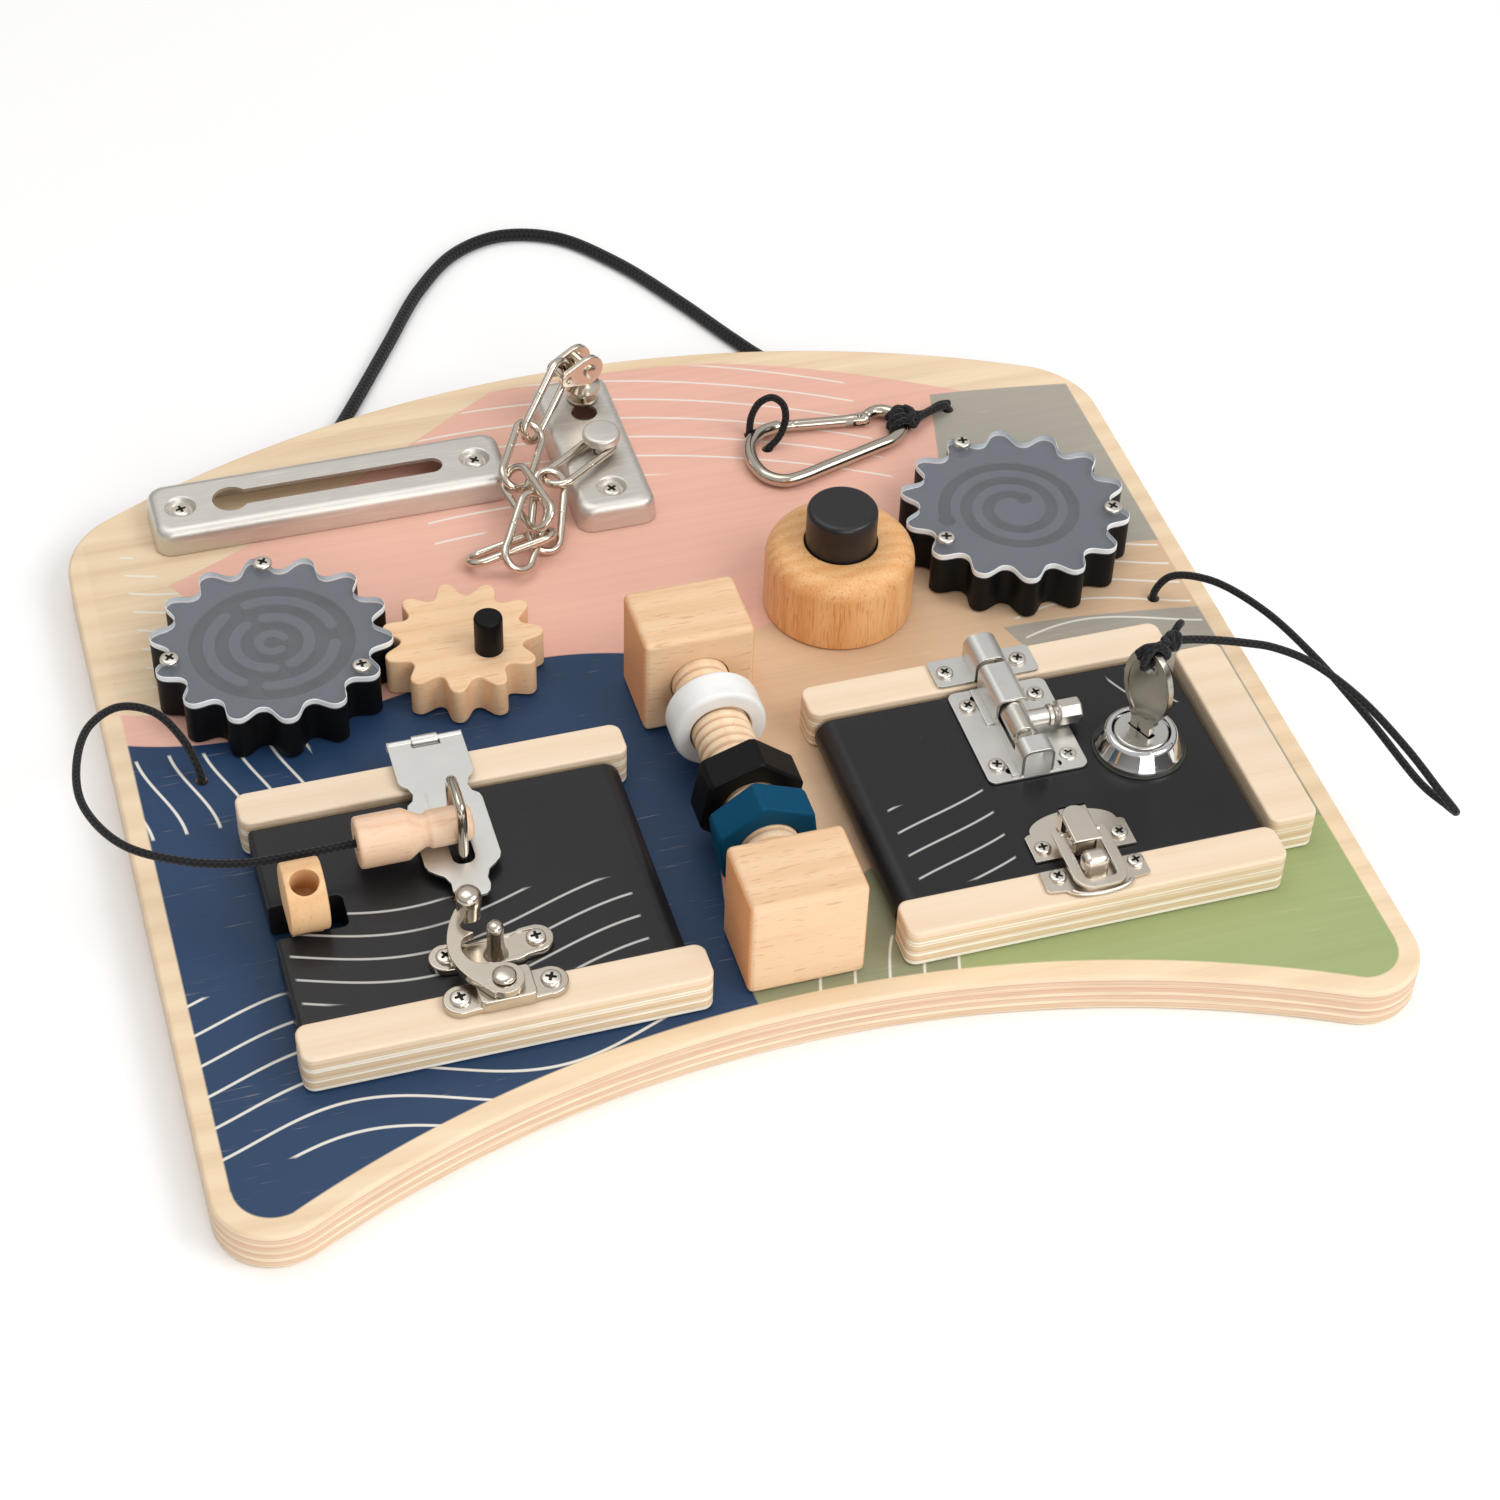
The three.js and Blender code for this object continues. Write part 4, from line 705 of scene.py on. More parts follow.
    # bare margin that follows the outline
    rf = sqrt(x * x + (y + 475.05) * (y + 475.05))
    rb = sqrt(x * x + (y + 179.45) * (y + 179.45))
    inside = emin(emin(above(rf, 342.0 + 6.5, 0.3), below(rb, 350.0 - 6.0, 0.3)), below(absv(x), 171.2, 0.3))
    cornf = sqrt((absv(x) - 159.5) * (absv(x) - 159.5) + (y + 152.55) * (y + 152.55))
    cutf = emin(emin(above(absv(x), 154.2, 0.1), below(y, -152.55, 0.2)), above(cornf, 11.5, 0.3))
    inside = emin(inside, inv(cutf))
    paint = emin(inside, above(nz, 0.9, 0.05))
    worn = m.noise(m.mapped(scale=(46, 900, 900), src=g), 1.0, 3, 0.6)
    shade = m.ramp(fib * 0.6 + patch * 0.5, [(0.2, 0.86), (0.75, 1.04)])
    printed = m.mix(1.0, col, shade, "MULTIPLY")
    printed = m.mix(emin(above(worn, 0.70, 0.05), above(rings, 0.2, 0.2)) * 0.22, printed, BIRCH_L)
    face = m.mix(paint, bare, printed)
    # plies round the edge
    side = below(absv(nz), 0.6, 0.1)
    u = (z + (m.noise(m.mapped(scale=(9, 9, 50)), 1.0, 2) - 0.5) * 0.3) / 1.56
    odd = above(frac(u * 0.5), 0.5, 0.02)
    ply = m.mix(odd, lin(240, 220, 192), lin(226, 196, 166))
    third = above(m.noise(m.mapped(scale=(0.5, 0.5, 380)), 1.0, 0), 0.57, 0.03)
    ply = m.mix(third * 0.6, ply, lin(222, 178, 150))
    streak = m.noise(m.mapped(scale=(40, 40, 1100)), 1.0, 3, 0.65)
    ply = m.mix(above(streak, 0.55, 0.12) * 0.45, ply, lin(202, 168, 134))
    line = inv(rng(frac(u), 0.08, 0.92, 0.05))
    ply = m.mix(line * 0.45, ply, lin(176, 140, 106))
    ply = m.mix(above(z, 12.55, 0.08), ply, BIRCH_M)
    m.color(m.mix(side, face, ply))
    m.rough(0.46 + fib * 0.14 - paint * 0.06)
    m.bump(fib * 0.6 + fine * 0.4 + streak * side * 0.8 - line * side * 0.5, 0.00006, 0.5)
    return m


m_board = board_material()


def metal(name, c, rough, brush=None, scale=1.0, grit=0.0, amount=0.08, dirt=0.0):
    m = Mat(name, metallic=1.0, rough=rough)
    blotch = m.noise(m.mapped(), 60.0 * scale, 3, 0.6)
    if brush:
        s = {"X": (8, 2200, 2200), "Y": (2200, 8, 2200), "Z": (2200, 2200, 8)}[brush]
        br = m.noise(m.mapped(scale=s), 1.0, 3, 0.7)
        scr = above(m.noise(m.mapped(scale=tuple(60 if k < 10 else 1500 for k in s)), 1.0, 2, 0.6), 0.60, 0.05)
    else:
        br = m.noise(m.mapped(), 420.0 * scale, 3, 0.6)
        scr = above(m.noise(m.mapped(scale=(160, 1700, 700)), 1.0, 1, 0.5), 0.72, 0.04)
    base = m.mix(blotch * 0.6, tuple(a * 0.86 for a in c), tuple(min(a * 1.08, 1) for a in c))
    m.color(m.mix(scr * (0.30 if brush else 0.12), base, tuple(min(a * 1.3, 1) for a in c)))
    m.rough(rough - amount + br * amount * 1.4 + blotch * amount * 0.6 + scr * 0.06)
    if brush:
        m.bump(br, 0.00003, 0.35)
    if grit:
        gr = m.noise(m.mapped(), 1500.0, 2, 0.6)
        m.bump(gr, 0.00006, grit)
    return m


m_steel = metal("brushed_steel", lin(226, 222, 215), 0.46, "X", amount=0.10)
m_bright = metal("bright_nickel", lin(204, 195, 181), 0.16, None, 1.0, amount=0.04)
m_link = metal("link_nickel", lin(224, 213, 198), 0.19, None, 1.6, grit=0.05, amount=0.08)
m_toggle = metal("toggle_nickel", lin(228, 219, 206), 0.30, None, 1.3, grit=0.03, amount=0.08)
m_plate = metal("satin_nickel_plate", lin(226, 225, 221), 0.40, None, 1.3, grit=0.04, amount=0.08)
m_cast = metal("cast_nickel", lin(212, 203, 189), 0.22, None, 0.8, grit=0.02, amount=0.05)
m_rod = metal("grainy_rod", lin(222, 217, 208), 0.30, None, 0.8, grit=0.18, amount=0.10)
m_chrome = metal("polished_chrome", lin(228, 228, 228), 0.05, None, 1.0, amount=0.03)
m_plug = metal("satin_plug", lin(218, 216, 212), 0.24, None, 1.0, amount=0.04)
m_key = metal("key_nickel", lin(186, 180, 168), 0.21, None, 1.0, amount=0.03)
m_screw = metal("screw_steel", lin(232, 226, 216), 0.28, None, 1.0, amount=0.05)


def plastic(name, c, rough, grit=0.1, scale=700.0, coat=0.0, spec=0.5):
    m = Mat(name, rough=rough, coat=coat, coat_rough=0.15, spec=spec)
    a = m.noise(m.mapped(), 90.0, 3, 0.6)
    b = m.noise(m.mapped(), scale, 3, 0.6)
    m.color(m.mix(a, tuple(x * 0.86 for x in c), tuple(min(x * 1.12, 1) for x in c)))
    m.rough(rough - 0.06 + a * 0.1 + b * 0.05)
    m.bump(b, 0.00004, grit)
    return m


m_black = plastic("black_lacquer", lin(11, 10, 10), 0.40, 0.25, 500, spec=0.16)
m_button = plastic("black_button_paint", lin(24, 23, 25), 0.34, 0.2, 500)
m_blue = plastic("blue_lacquer", lin(0, 70, 101), 0.44, 0.3, 420, spec=0.12)
m_white = plastic("white_lacquer", lin(238, 238, 236), 0.42, 0.25, 420)
m_rubber = plastic("gasket", lin(60, 66, 52), 0.55, 0.3, 600)
# dark colour painted into the screw crosses as shade
m_recess_shade = plastic("screw_recess_painted_shade", lin(64, 56, 48), 0.6, 0.1, 700, spec=0.2)
# not used: a dark material meant as painted shade in recesses
m_shade_dark = plastic("recess_shade_dark", lin(20, 19, 20), 0.6, 0.2, 600)


def gear_material():
    m = Mat("gear_black", rough=0.5, spec=0.2)
    x, y, z = m.xyz()
    nx, ny, nz = m.normal_z()
    a = m.noise(m.mapped(), 55.0, 4, 0.6)
    b = m.noise(m.mapped(), 800.0, 2, 0.6)
    left = below(x, 0.0, 1.0)
    gx = x - (left * (-122.0 - 123.3) + 123.3)
    gy = y - (left * (42.3 - 43.0) + 43.0)
    rr = sqrt(gx * gx + gy * gy)
    inner = emin(below(rr, 29.0, 0.4), above(z, 25.0, 0.1))
    top = emax(emin(above(nz, 0.9, 0.05), above(z, 28.2, 0.1)), inner)
    # painted shade: inside the maze the floor and the lower walls, below z 28.3, are darkened
    maze_floor_shade = emin(inner, below(z, 28.3, 0.1))
    grey = m.mix(a, lin(82, 85, 91), lin(94, 97, 103))
    col = m.mix(top, m.mix(a, lin(6, 6, 7), lin(12, 12, 13)), grey)
    col = m.mix(maze_floor_shade, col, m.mix(a, lin(40, 41, 45), lin(52, 54, 58)))
    m.color(col)
    m.rough(0.42 + a * 0.14)
    m.bump(b * 0.6 + a * 0.4, 0.00004, 0.3)
    return m


m_gear = gear_material()


def cover_material():
    """clear acrylic sheet with frosted sawn edges"""
    m = Mat("clear_acrylic", rough=0.04, spec=0.5)
    m.b.inputs["Base Color"].default_value = (0.96, 0.98, 0.99, 1)
    m.b.inputs["Transmission Weight"].default_value = 1.0
    m.b.inputs["IOR"].default_value = 1.3
    nx, ny, nz = m.normal_z()
    side = below(absv(nz), 0.85, 0.1)
    x, y, z = m.xyz()
    n = m.noise(m.mapped(scale=(300, 300, 1400)), 1.0, 3, 0.6)
    smear = m.noise(m.mapped(), 45.0, 4, 0.65)
    m.rough(0.03 + above(smear, 0.5, 0.3) * 0.10)
    frost = m.node("ShaderNodeBsdfPrincipled")
    m.set(frost.inputs["Base Color"], m.mix(n, lin(226, 231, 234), lin(252, 254, 254)))
    frost.inputs["Roughness"].default_value = 0.35
    clear = m.node("ShaderNodeBsdfTransparent")
    clear.inputs[0].default_value = (0.93, 0.95, 0.97, 1)
    gloss = m.node("ShaderNodeBsdfGlossy")
    gloss.inputs["Roughness"].default_value = 0.12
    # painted reflection: a flat grey diffuse veil in the clear sheet stands in for its reflection, and is a little
    # thicker where smeared
    reflection_and_smear_veil = m.node("ShaderNodeBsdfDiffuse")
    reflection_and_smear_veil.inputs[0].default_value = (0.42, 0.44, 0.48, 1)
    a1 = m.node("ShaderNodeMixShader")
    m.set(a1.inputs[0], 0.115 + above(smear, 0.5, 0.3) * 0.05)
    m.nt.links.new(clear.outputs[0], a1.inputs[1])
    m.nt.links.new(reflection_and_smear_veil.outputs[0], a1.inputs[2])
    a2 = m.node("ShaderNodeMixShader")
    m.set(a2.inputs[0], 0.05)
    m.nt.links.new(a1.outputs[0], a2.inputs[1])
    m.nt.links.new(gloss.outputs[0], a2.inputs[2])
    mixs = m.node("ShaderNodeMixShader")
    m.set(mixs.inputs[0], side * 0.93)
    m.nt.links.new(a2.outputs[0], mixs.inputs[1])
    m.nt.links.new(frost.outputs[0], mixs.inputs[2])
    m.nt.links.new(mixs.outputs[0], m.out.inputs[0])
    m.nt.nodes.remove(m.b)
    return m


m_cover = cover_material()


def door_material(name, mirror):
    """black lacquered board with a few printed lines"""
    m = Mat(name, rough=0.33, coat=0.05, coat_rough=0.2, spec=0.36)
    x, y, z = m.xyz()
    nx, ny, nz = m.normal_z()
    g = grain(m, "X", 0.4)
    fib = m.noise(m.mapped(scale=(10, 500, 500), src=g), 1.0, 3, 0.6)
    a = m.noise(m.mapped(), 40.0, 4, 0.6)
    speck = above(m.noise(m.mapped(), 1300.0, 1), 0.74, 0.03)
    base = m.mix(a, lin(20, 19, 21), lin(29, 28, 30))
    top = emin(above(nz, 0.9, 0.05), above(z, 26.0, 0.1))
    def waves(e, gap, wide, mask):
        return emin(inv(above(absv(frac(e / gap) - 0.5) * gap, wide / 2, 0.18)), mask)
    if mirror:
        w = waves(x * 0.55 - y + sin(x * 0.06) * 4.0, 9.5, 0.75, emin(rng(x, 40.0, 70.0, 0.4), rng(y, -108.0, -74.0, 0.4)))
        w = emax(w, waves(x + y * 0.7 + sin(y * 0.09) * 3.0, 8.5, 0.7, emin(rng(x, 124.0, 142.0, 0.4), rng(y, -54.0, -36.0, 0.4))))
    else:
        w = waves(y + sin(x * 0.045) * 8.0, 9.0, 0.8, emin(rng(y + x * 0.1, -119.0, -84.0, 0.5), rng(x, -141.0, -42.0, 0.4)))
    col = m.mix(emin(w, top) * 0.8, base, lin(206, 204, 200))
    col = m.mix(speck * 0.08, col, lin(120, 118, 116))
    m.color(col)
    m.rough(0.28 + a * 0.12 + fib * 0.06)
    m.bump(fib * 0.7 + a * 0.3, 0.00005, 0.35)
    return m


m_door_l = door_material("door_left_black", False)
m_door_r = door_material("door_right_black", True)


def cord_material():
    m = Mat("braided_cord", rough=0.8, spec=0.25, sheen=0.15)
    s = m.node("ShaderNodeSeparateXYZ")
    m.set(s.inputs[0], m.uv)
    u, v = E(m, s.outputs[0]) * (2 * math.pi), E(m, s.outputs[1]) * (2 * math.pi)
    p = sin(u * 4.0 + v * 520.0)
    q = sin(u * 4.0 - v * 520.0)
    sel = above(sin(u * 4.0) * sin(v * 520.0), 0.0, 0.25)
    h = p * sel + q * inv(sel)
    fz = m.noise(m.mapped(), 5000.0, 2, 0.6)
    # painted shade: the colour follows the strand relief h, lighter on the crowns and darker in the valleys between
    # strands; fz adds fibre fuzz
    m.color(m.mix(h * 0.4 + 0.5 * fz, lin(12, 12, 13), lin(44, 43, 45)))
    m.bump(h * 0.7 + fz * 0.4, 0.00016, 0.9)
    return m


m_cord = cord_material()

# ---------------------------------------------------------------------------- dimensions shared with the CAD
BOARD_T, ON, HALF_W, RAIL_TOP = 14.0, 14.3, 177.5, 28.0
DOOR_Z0, DOOR_Z1, DOOR_Y0, DOOR_Y1 = 14.4, 26.4, -110.9, -33.2
HINGE_Z, HINGE_R, LD_X0, LD_HINGE, RD_X1, RD_HINGE, PIN_R = 20.4, 6.0, -143.8, -37.5, 145.4, 36.5, 2.8
SP_Z, SP_R = 32.0, 9.0
LG, RG, SG = (-122.0, 42.3), (123.3, 43.0), (-64.6, 30.3)
BTN, LATCH = (58.8, 30.3), (-133.75, -71.25)
PEG_Y, PEG_Z = -56.75, 37.0
HOOK = (-86.5, -116.2)
BOLT_X, BOLT_Z = 87.8, 32.3
LOCK = (122.3, -69.25)
KEY_ANG = math.degrees(math.atan2(-0.92, 0.39))
TOG_X, TOG_P, TOG_Q = 89.6, (-106.0, 31.3), (-102.5, 31.3)
STUD, RIVET, CLEVIS_TURN = (1.9, 112.0), (3.0, 141.5, 37.5), 201.2


# ---------------------------------------------------------------------------- screws
def screw(x, y, z, r=2.9, h=1.3, turn=20, M=None):
    """cross-recess screw head whose underside is at z; the recess takes the second material, a dark colour painted in
    as shade
    """
    prof = [(0, -0.3), (r * 0.9, -0.3), (r, 0.0), (r, h * 0.42), (r * 0.97, h * 0.64), (r * 0.90, h * 0.82), (r * 0.78, h * 0.93), (r * 0.6, h * 0.985), (0, h)]
    ob = lathe(prof, seg=40, M=Matrix.Identity(4))
    w, l = r * 0.30, r * 1.34
    for a in (0, 90):
        cut(ob, prism([(-l / 2, h + 0.6), (l / 2, h + 0.6), (l * 0.27, h - 1.0), (-l * 0.27, h - 1.0)], -w / 2, w / 2, M=RZ(a) @ PY))
    cut(ob, lathe([(0, h - 0.9), (r * 0.16, h - 0.8), (r * 0.36, h + 0.6), (0, h + 0.6)], seg=16, M=Matrix.Identity(4)))
    me = ob.data
    me.materials.clear()
    me.materials.append(None)
    me.materials.append(None)
    # faces inside the cross recess get index 1, the dark painted-shade material
    for f in me.polygons:
        c = f.center / MM
        d = math.hypot(c.x, c.y)
        if 0.05 < c.z < h * 0.93 and d < r * 0.72:
            f.material_index = 1
    m = (M if M is not None else T(x, y, z)) @ RZ(turn)
    m2 = m.copy()
    m2.translation = m.translation * MM
    ob.data.transform(m2)
    return ob


# ---------------------------------------------------------------------------- board and woodwork
def board_outline(n=90):
    fr, br = 18, 30
    fcx, fcy, bcx, bcy, R1, c1, R2, c2 = HALF_W - fr, -152.55, HALF_W - br, 104.55, 342, -475.05, 350, -179.45
    R1, R2 = math.hypot(fcx, fcy - c1) - fr, math.hypot(bcx, bcy - c2) + br
    aF = math.degrees(math.atan2(fcy - c1, fcx))
    aB = math.degrees(math.atan2(bcy - c2, bcx))
    return (arc(bcx, bcy, br, 0, aB, 18) + arc(0, c2, R2, aB, 180 - aB, n) + arc(-bcx, bcy, br, 180 - aB, 180, 18)
            + arc(-fcx, fcy, fr, 180, 360 - aF, 20) + arc(0, c1, R1, 180 - aF, aF, n) + arc(fcx, fcy, fr, aF - 180, 0, 20))


HOLES = [(-152, 2.75), (158.6, 4.75), (56.0, 118.4), (59.6, 109.8), (126.3, 114.3)]
b = prism(clean(board_outline()), 0, BOARD_T, 1.3, 3)
cut(b, *[cyl("z", 2.0, x, y, 4, 15, 20) for x, y in HOLES], *[cyl("y", 3.0, x, 6.5, y - 12, y + 6, 20) for x, y in ((-80, 161.4), (82, 160.9))])
b = merge(b, cyl("z", 4.0, *LG, 13.0, 23.0, 32), cyl("z", 4.0, *RG, 13.0, 23.0, 32), cyl("z", 3.0, *SG, 13.0, 21.0, 32))
piece(b, "board_panel", "board", m_board, ["board"])


def rail(name, x0, x1, y0, y1, hx=None, hy=None, r=3.5):
    o = prism(rrect(x0, x1, y0, y1, r, 8), ON, RAIL_TOP, 0.9, 3)
    if hx is not None:
        cut(o, cyl("y", PIN_R + 0.3, hx, HINGE_Z, *hy, 32))
    return piece(o, name + "_wood", "board", m_rail, [name])


rail("rail_left_back", -145.4, -27.8, -32.3, -19.2, LD_HINGE, (-33, -28))
rail("rail_left_front", -145.4, -27.8, -125.3, -111.5, LD_HINGE, (-116, -111))
rail("rail_right_back", 29.6, 147.6, -32.3, -19.2, RD_HINGE, (-33, -28))
rail("rail_right_front", 29.6, 147.6, -125.3, -111.5, RD_HINGE, (-116, -111))
o = prism(rrect(147.9, 163.2, -111.1, -33.4, 3, 8), ON, RAIL_TOP, 0.9, 3)
cut(o, box(147, 152, -82.2, -64.6, 14, 18.3))
piece(o, "side_strip_wood", "board", m_rail, ["side_strip"])

for nm, y0, y1, hy in (("block_front", -123.25, -96.85, (-105, -96)), ("block_back", -12.35, 13.75, (-13, -4))):
    o = box(-17.5, 17.5, y0, y1, ON, 49.8, 2.0, 4)
    cut(o, cyl("y", SP_R + 0.4, 0, SP_Z, *hy, 64))
    piece(o, nm + "_wood", "board", m_beech_y, [nm])


def spindle():
    """round rod with one rounded helical thread between the blocks"""
    seg, step, pitch, dep = 64, 0.24, 3.7, 1.0
    ys = [-104.5 + step * i for i in range(int(100.0 / step) + 1)]
    vs, fs = [(0, ys[0], SP_Z)], []
    for y in ys:
        fade = max(0.0, min(1.0, (y + 96.0) / 1.5, (-13.2 - y) / 1.5))
        for k in range(seg):
            a = 2 * math.pi * k / seg
            ph = (y / pitch - k / seg) % 1.0
            tri = abs(ph - 0.5) * 2
            s = max(0.0, min(1.0, (tri - 0.08) / 0.46))
            r = SP_R - dep * (1 - s * s * (3 - 2 * s)) * fade
            vs.append((r * math.cos(a), y, SP_Z + r * math.sin(a)))
    for i in range(len(ys) - 1):
        for k in range(seg):
            m = (k + 1) % seg
            fs.append((1 + i * seg + k, 1 + i * seg + m, 1 + (i + 1) * seg + m, 1 + (i + 1) * seg + k))
    for k in range(seg):
        fs.append((0, 1 + (k + 1) % seg, 1 + k))
    e = len(vs)
    vs.append((0, ys[-1], SP_Z))
    base = 1 + (len(ys) - 1) * seg
    for k in range(seg):
        fs.append((e, base + k, base + (k + 1) % seg))
    return raw("s", vs, fs)


piece(spindle(), "spindle_thread", "board", m_spindle, ["spindle"], sharp=60)


def hex_nut(y0, y1, af, turn):
    rc, p = af / math.sqrt(3), []
    for i in range(6):
        for d in range(-7, 8):
            a = rad(turn + 60 * i + d)
            flat = (af / 2) / math.cos(rad(30 - abs(d)))
            p.append((min(flat, rc * 0.972) * math.cos(a), min(flat, rc * 0.972) * math.sin(a)))
    o = prism([(x, z + SP_Z) for x, z in p], -y1, -y0, 1.7, 4, PY)
    cut(o, cyl("y", SP_R + 0.45, 0, SP_Z, y0 - 1, y1 + 1, 64))
    return soften(o, 0.35, 50, 2)


piece(hex_nut(-67.75, -55.75, 29.4, 80), "nut_black_body", "nut_black", m_black, ["nut_black"], sharp=35)
piece(hex_nut(-85.25, -73.75, 29.4, 37), "nut_blue_body", "nut_blue", m_blue, ["nut_blue"], sharp=35)
MY = Matrix(((1, 0, 0, 0), (0, 0, 1, 0), (0, 1, 0, 0), (0, 0, 0, 1)))
a, c = -35.0, -23.75
o = lathe([(9.45, a + 0.5), (9.9, a), (13.2, a), (14.05, a + 0.35), (14.45, a + 0.9), (14.6, a + 1.7), (14.6, c - 1.7), (14.45, c - 0.9), (14.05, c - 0.35), (13.2, c), (9.9, c), (9.45, c - 0.5), (9.45, a + 0.5)], seg=96, M=T(0, 0, SP_Z) @ MY)
piece(o, "nut_white_body", "nut_white", m_white, ["nut_white"])

# button
o = lathe([(0, ON), (23.2, ON), (23.8, ON + 0.3), (24, ON + 0.9), (24, 33.6), (23.75, 35.2), (23.1, 36.8), (22.1, 38.1), (20.8, 39.1), (19.2, 39.75), (17.6, 40), (12.5, 40), (11.9, 39.8), (11.7, 39.2), (11.7, 19.5), (0, 19.5)], *BTN, seg=128)
piece(o, "button_housing_wood", "board", m_oak, ["button_housing"], sharp=50)
o = lathe([(0, 26), (11.3, 26), (11.3, 51.7), (11.15, 52.5), (10.7, 53.1), (10.0, 53.4), (9.0, 53.5), (0, 53.5)], *BTN, seg=96)
piece(o, "push_button_cap", "push_button", m_button, ["push_button"], sharp=50)


# ---------------------------------------------------------------------------- gears
def gear_outline(n, tip, root, phase, c, per=20, power=1.0, inset=0.0):
    p = []
    for i in range(n * per):
        a = 2 * math.pi * i / (n * per)
        c_ = math.cos(n * a)
        u = 0.5 + 0.5 * (0.45 * c_ + 0.55 * math.sin(math.pi / 2 * c_))
        r = root + (tip - root) * u - inset
        p.append((c[0] + r * math.cos(a + rad(phase)), c[1] + r * math.sin(a + rad(phase))))
    return p


def ring_arc(c, r0, r1, a0, a1, n=40):
    """annular groove outline with round ends"""
    m, h = (r0 + r1) / 2, (r1 - r0) / 2
    e1 = (c[0] + m * math.cos(rad(a1)), c[1] + m * math.sin(rad(a1)))
    e0 = (c[0] + m * math.cos(rad(a0)), c[1] + m * math.sin(rad(a0)))
    return arc(*c, r1, a0, a1, n) + arc(*e1, h, a1, a1 + 180, 8)[1:-1] + arc(*c, r0, a1, a0, n) + arc(*e0, h, a0 + 180, a0 + 360, 8)[1:-1]


o = prism(gear_outline(14, 37.5, 31.5, 10.8, LG), 14.5, 28.7, 0.5, 2)
cut(o, cyl("z", 4.3, *LG, 14, 23.6, 32))
cut(o, cyl("z", 25.7, *LG, 25.6, 30, 128))
walls = [prism(ring_arc(LG, r0, r1, a0, a1), 25.4, 28.7, 0.25, 2, both=False) for r0, r1, a0, a1 in
         ((17.6, 21.3, 10, 104), (17.6, 21.3, 128, 232), (17.6, 21.3, 256, 344), (9.7, 13.4, -70, 92), (9.7, 13.4, 124, 262), (2.6, 5.6, 20, 300))]
o = soften(o, 0.25, 50, 2)
o = merge(o, *walls)
piece(o, "left_gear_body", "left_gear", m_gear, ["left_gear"], sharp=38)
o = prism(gear_outline(14, 37.5, 31.5, 1.0, RG), 14.5, 28.7, 0.5, 2)
cut(o, cyl("z", 4.3, *RG, 14, 23.6, 32))
N_ = 110
cen = [(6.2 + 17.2 * i / N_, 40 + 860 * i / N_) for i in range(N_ + 1)]
outer = [(RG[0] + (r + 2) * math.cos(rad(a)), RG[1] + (r + 2) * math.sin(rad(a))) for r, a in cen]
inner = [(RG[0] + (r - 2) * math.cos(rad(a)), RG[1] + (r - 2) * math.sin(rad(a))) for r, a in cen]
cut(o, prism(outer + inner[::-1], 25.6, 29.5))
for r, a, q in ((6.2, 40, 2.8), (23.4, 900, 2.9)):
    cut(o, cyl("z", q, RG[0] + r * math.cos(rad(a)), RG[1] + r * math.sin(rad(a)), 25.55, 29.4, 32))
piece(soften(o, 0.25, 50, 2), "right_gear_body", "right_gear", m_gear, ["right_gear"], sharp=38)
for nm, c, ph, scr in (("left_gear", LG, 10.8, ((34, 84), (32, 184.5), (31.6, 319.5))), ("right_gear", RG, 1.0, ((34, 101), (30, 202), (31.8, 340)))):
    o = prism(gear_outline(14, 37.5, 31.5, ph, c), 28.9, 31.0, 0.18, 1)
    piece(o, nm + "_cover_sheet", nm, m_cover, [nm + "_cover"], sharp=38)
    s = [screw(c[0] + r * math.cos(rad(a)), c[1] + r * math.sin(rad(a)), 31.0, 3.0, 1.3, turn=a * 1.7) for r, a in scr]
    piece(merge(*s), nm + "_screws", nm, [m_screw, m_recess_shade])
o = prism(gear_outline(11, 25.3, 19.3, 90.3, SG), 14.5, 28.2, 0.7, 3)
cut(o, cyl("z", 3.3, *SG, 14, 21.5, 32))
piece(o, "small_gear_wood", "small_gear", m_beech_x, ["small_gear"], sharp=38)
o = lathe([(0, 28.25), (4.5, 28.25), (4.5, 40.4), (4.35, 41.0), (3.9, 41.35), (3.4, 41.4), (0, 41.4)], SG[0] + 6.8, SG[1] - 7.6, seg=64)
piece(o, "gear_knob_peg", "small_gear", m_black, ["gear_knob"])


# ---------------------------------------------------------------------------- chain set
def loft(rings):
    vs, fs, n = [], [], len(rings[0])
    for ring in rings:
        vs += ring
    for i in range(len(rings) - 1):
        for k in range(n):
            m = (k + 1) % n
            fs.append((i * n + k, i * n + m, (i + 1) * n + m, (i + 1) * n + k))
    fs.append(tuple(range(n - 1, -1, -1)))
    fs.append(tuple((len(rings) - 1) * n + k for k in range(n)))
    return raw("loft", vs, fs)


def pressed(x0, x1, y0, y1, corner, zs):
    return loft([[(x, y, z) for x, y in rrect(x0 + d, x1 - d, y0 + d, y1 - d, max(corner - d * 0.55, 1.2), 8)] for z, d in zs])


OUT = [(14.3, 0.0), (15.4, 0.05), (18.5, 0.25), (20.6, 0.5), (21.8, 0.9), (22.6, 1.6), (23.05, 2.5), (23.3, 3.8)]
INN = [(13.0, 1.2), (18.5, 1.45), (20.4, 1.9), (21.2, 2.6), (21.8, 3.8), (21.95, 5.4)]


def cup(o, x, y):
    fuse(o, lathe([(0, ON + 0.02), (3.4, ON + 0.02), (4.0, 17), (5.6, 22.4), (0, 22.4)], x, y, seg=48))
    return cut(o, lathe([(0, 20.9), (3.5, 20.9), (3.9, 21.1), (4.3, 21.8), (4.6, 22.6), (4.9, 23.0), (5.6, 23.45), (5.6, 25), (0, 25)], x, y, seg=48))


def stadium(x0, x1, y0, y1, n=16):
    r = (y1 - y0) / 2
    return arc(x1 - r, y0 + r, r, -90, 90, n) + arc(x0 + r, y0 + r, r, 90, 270, n)


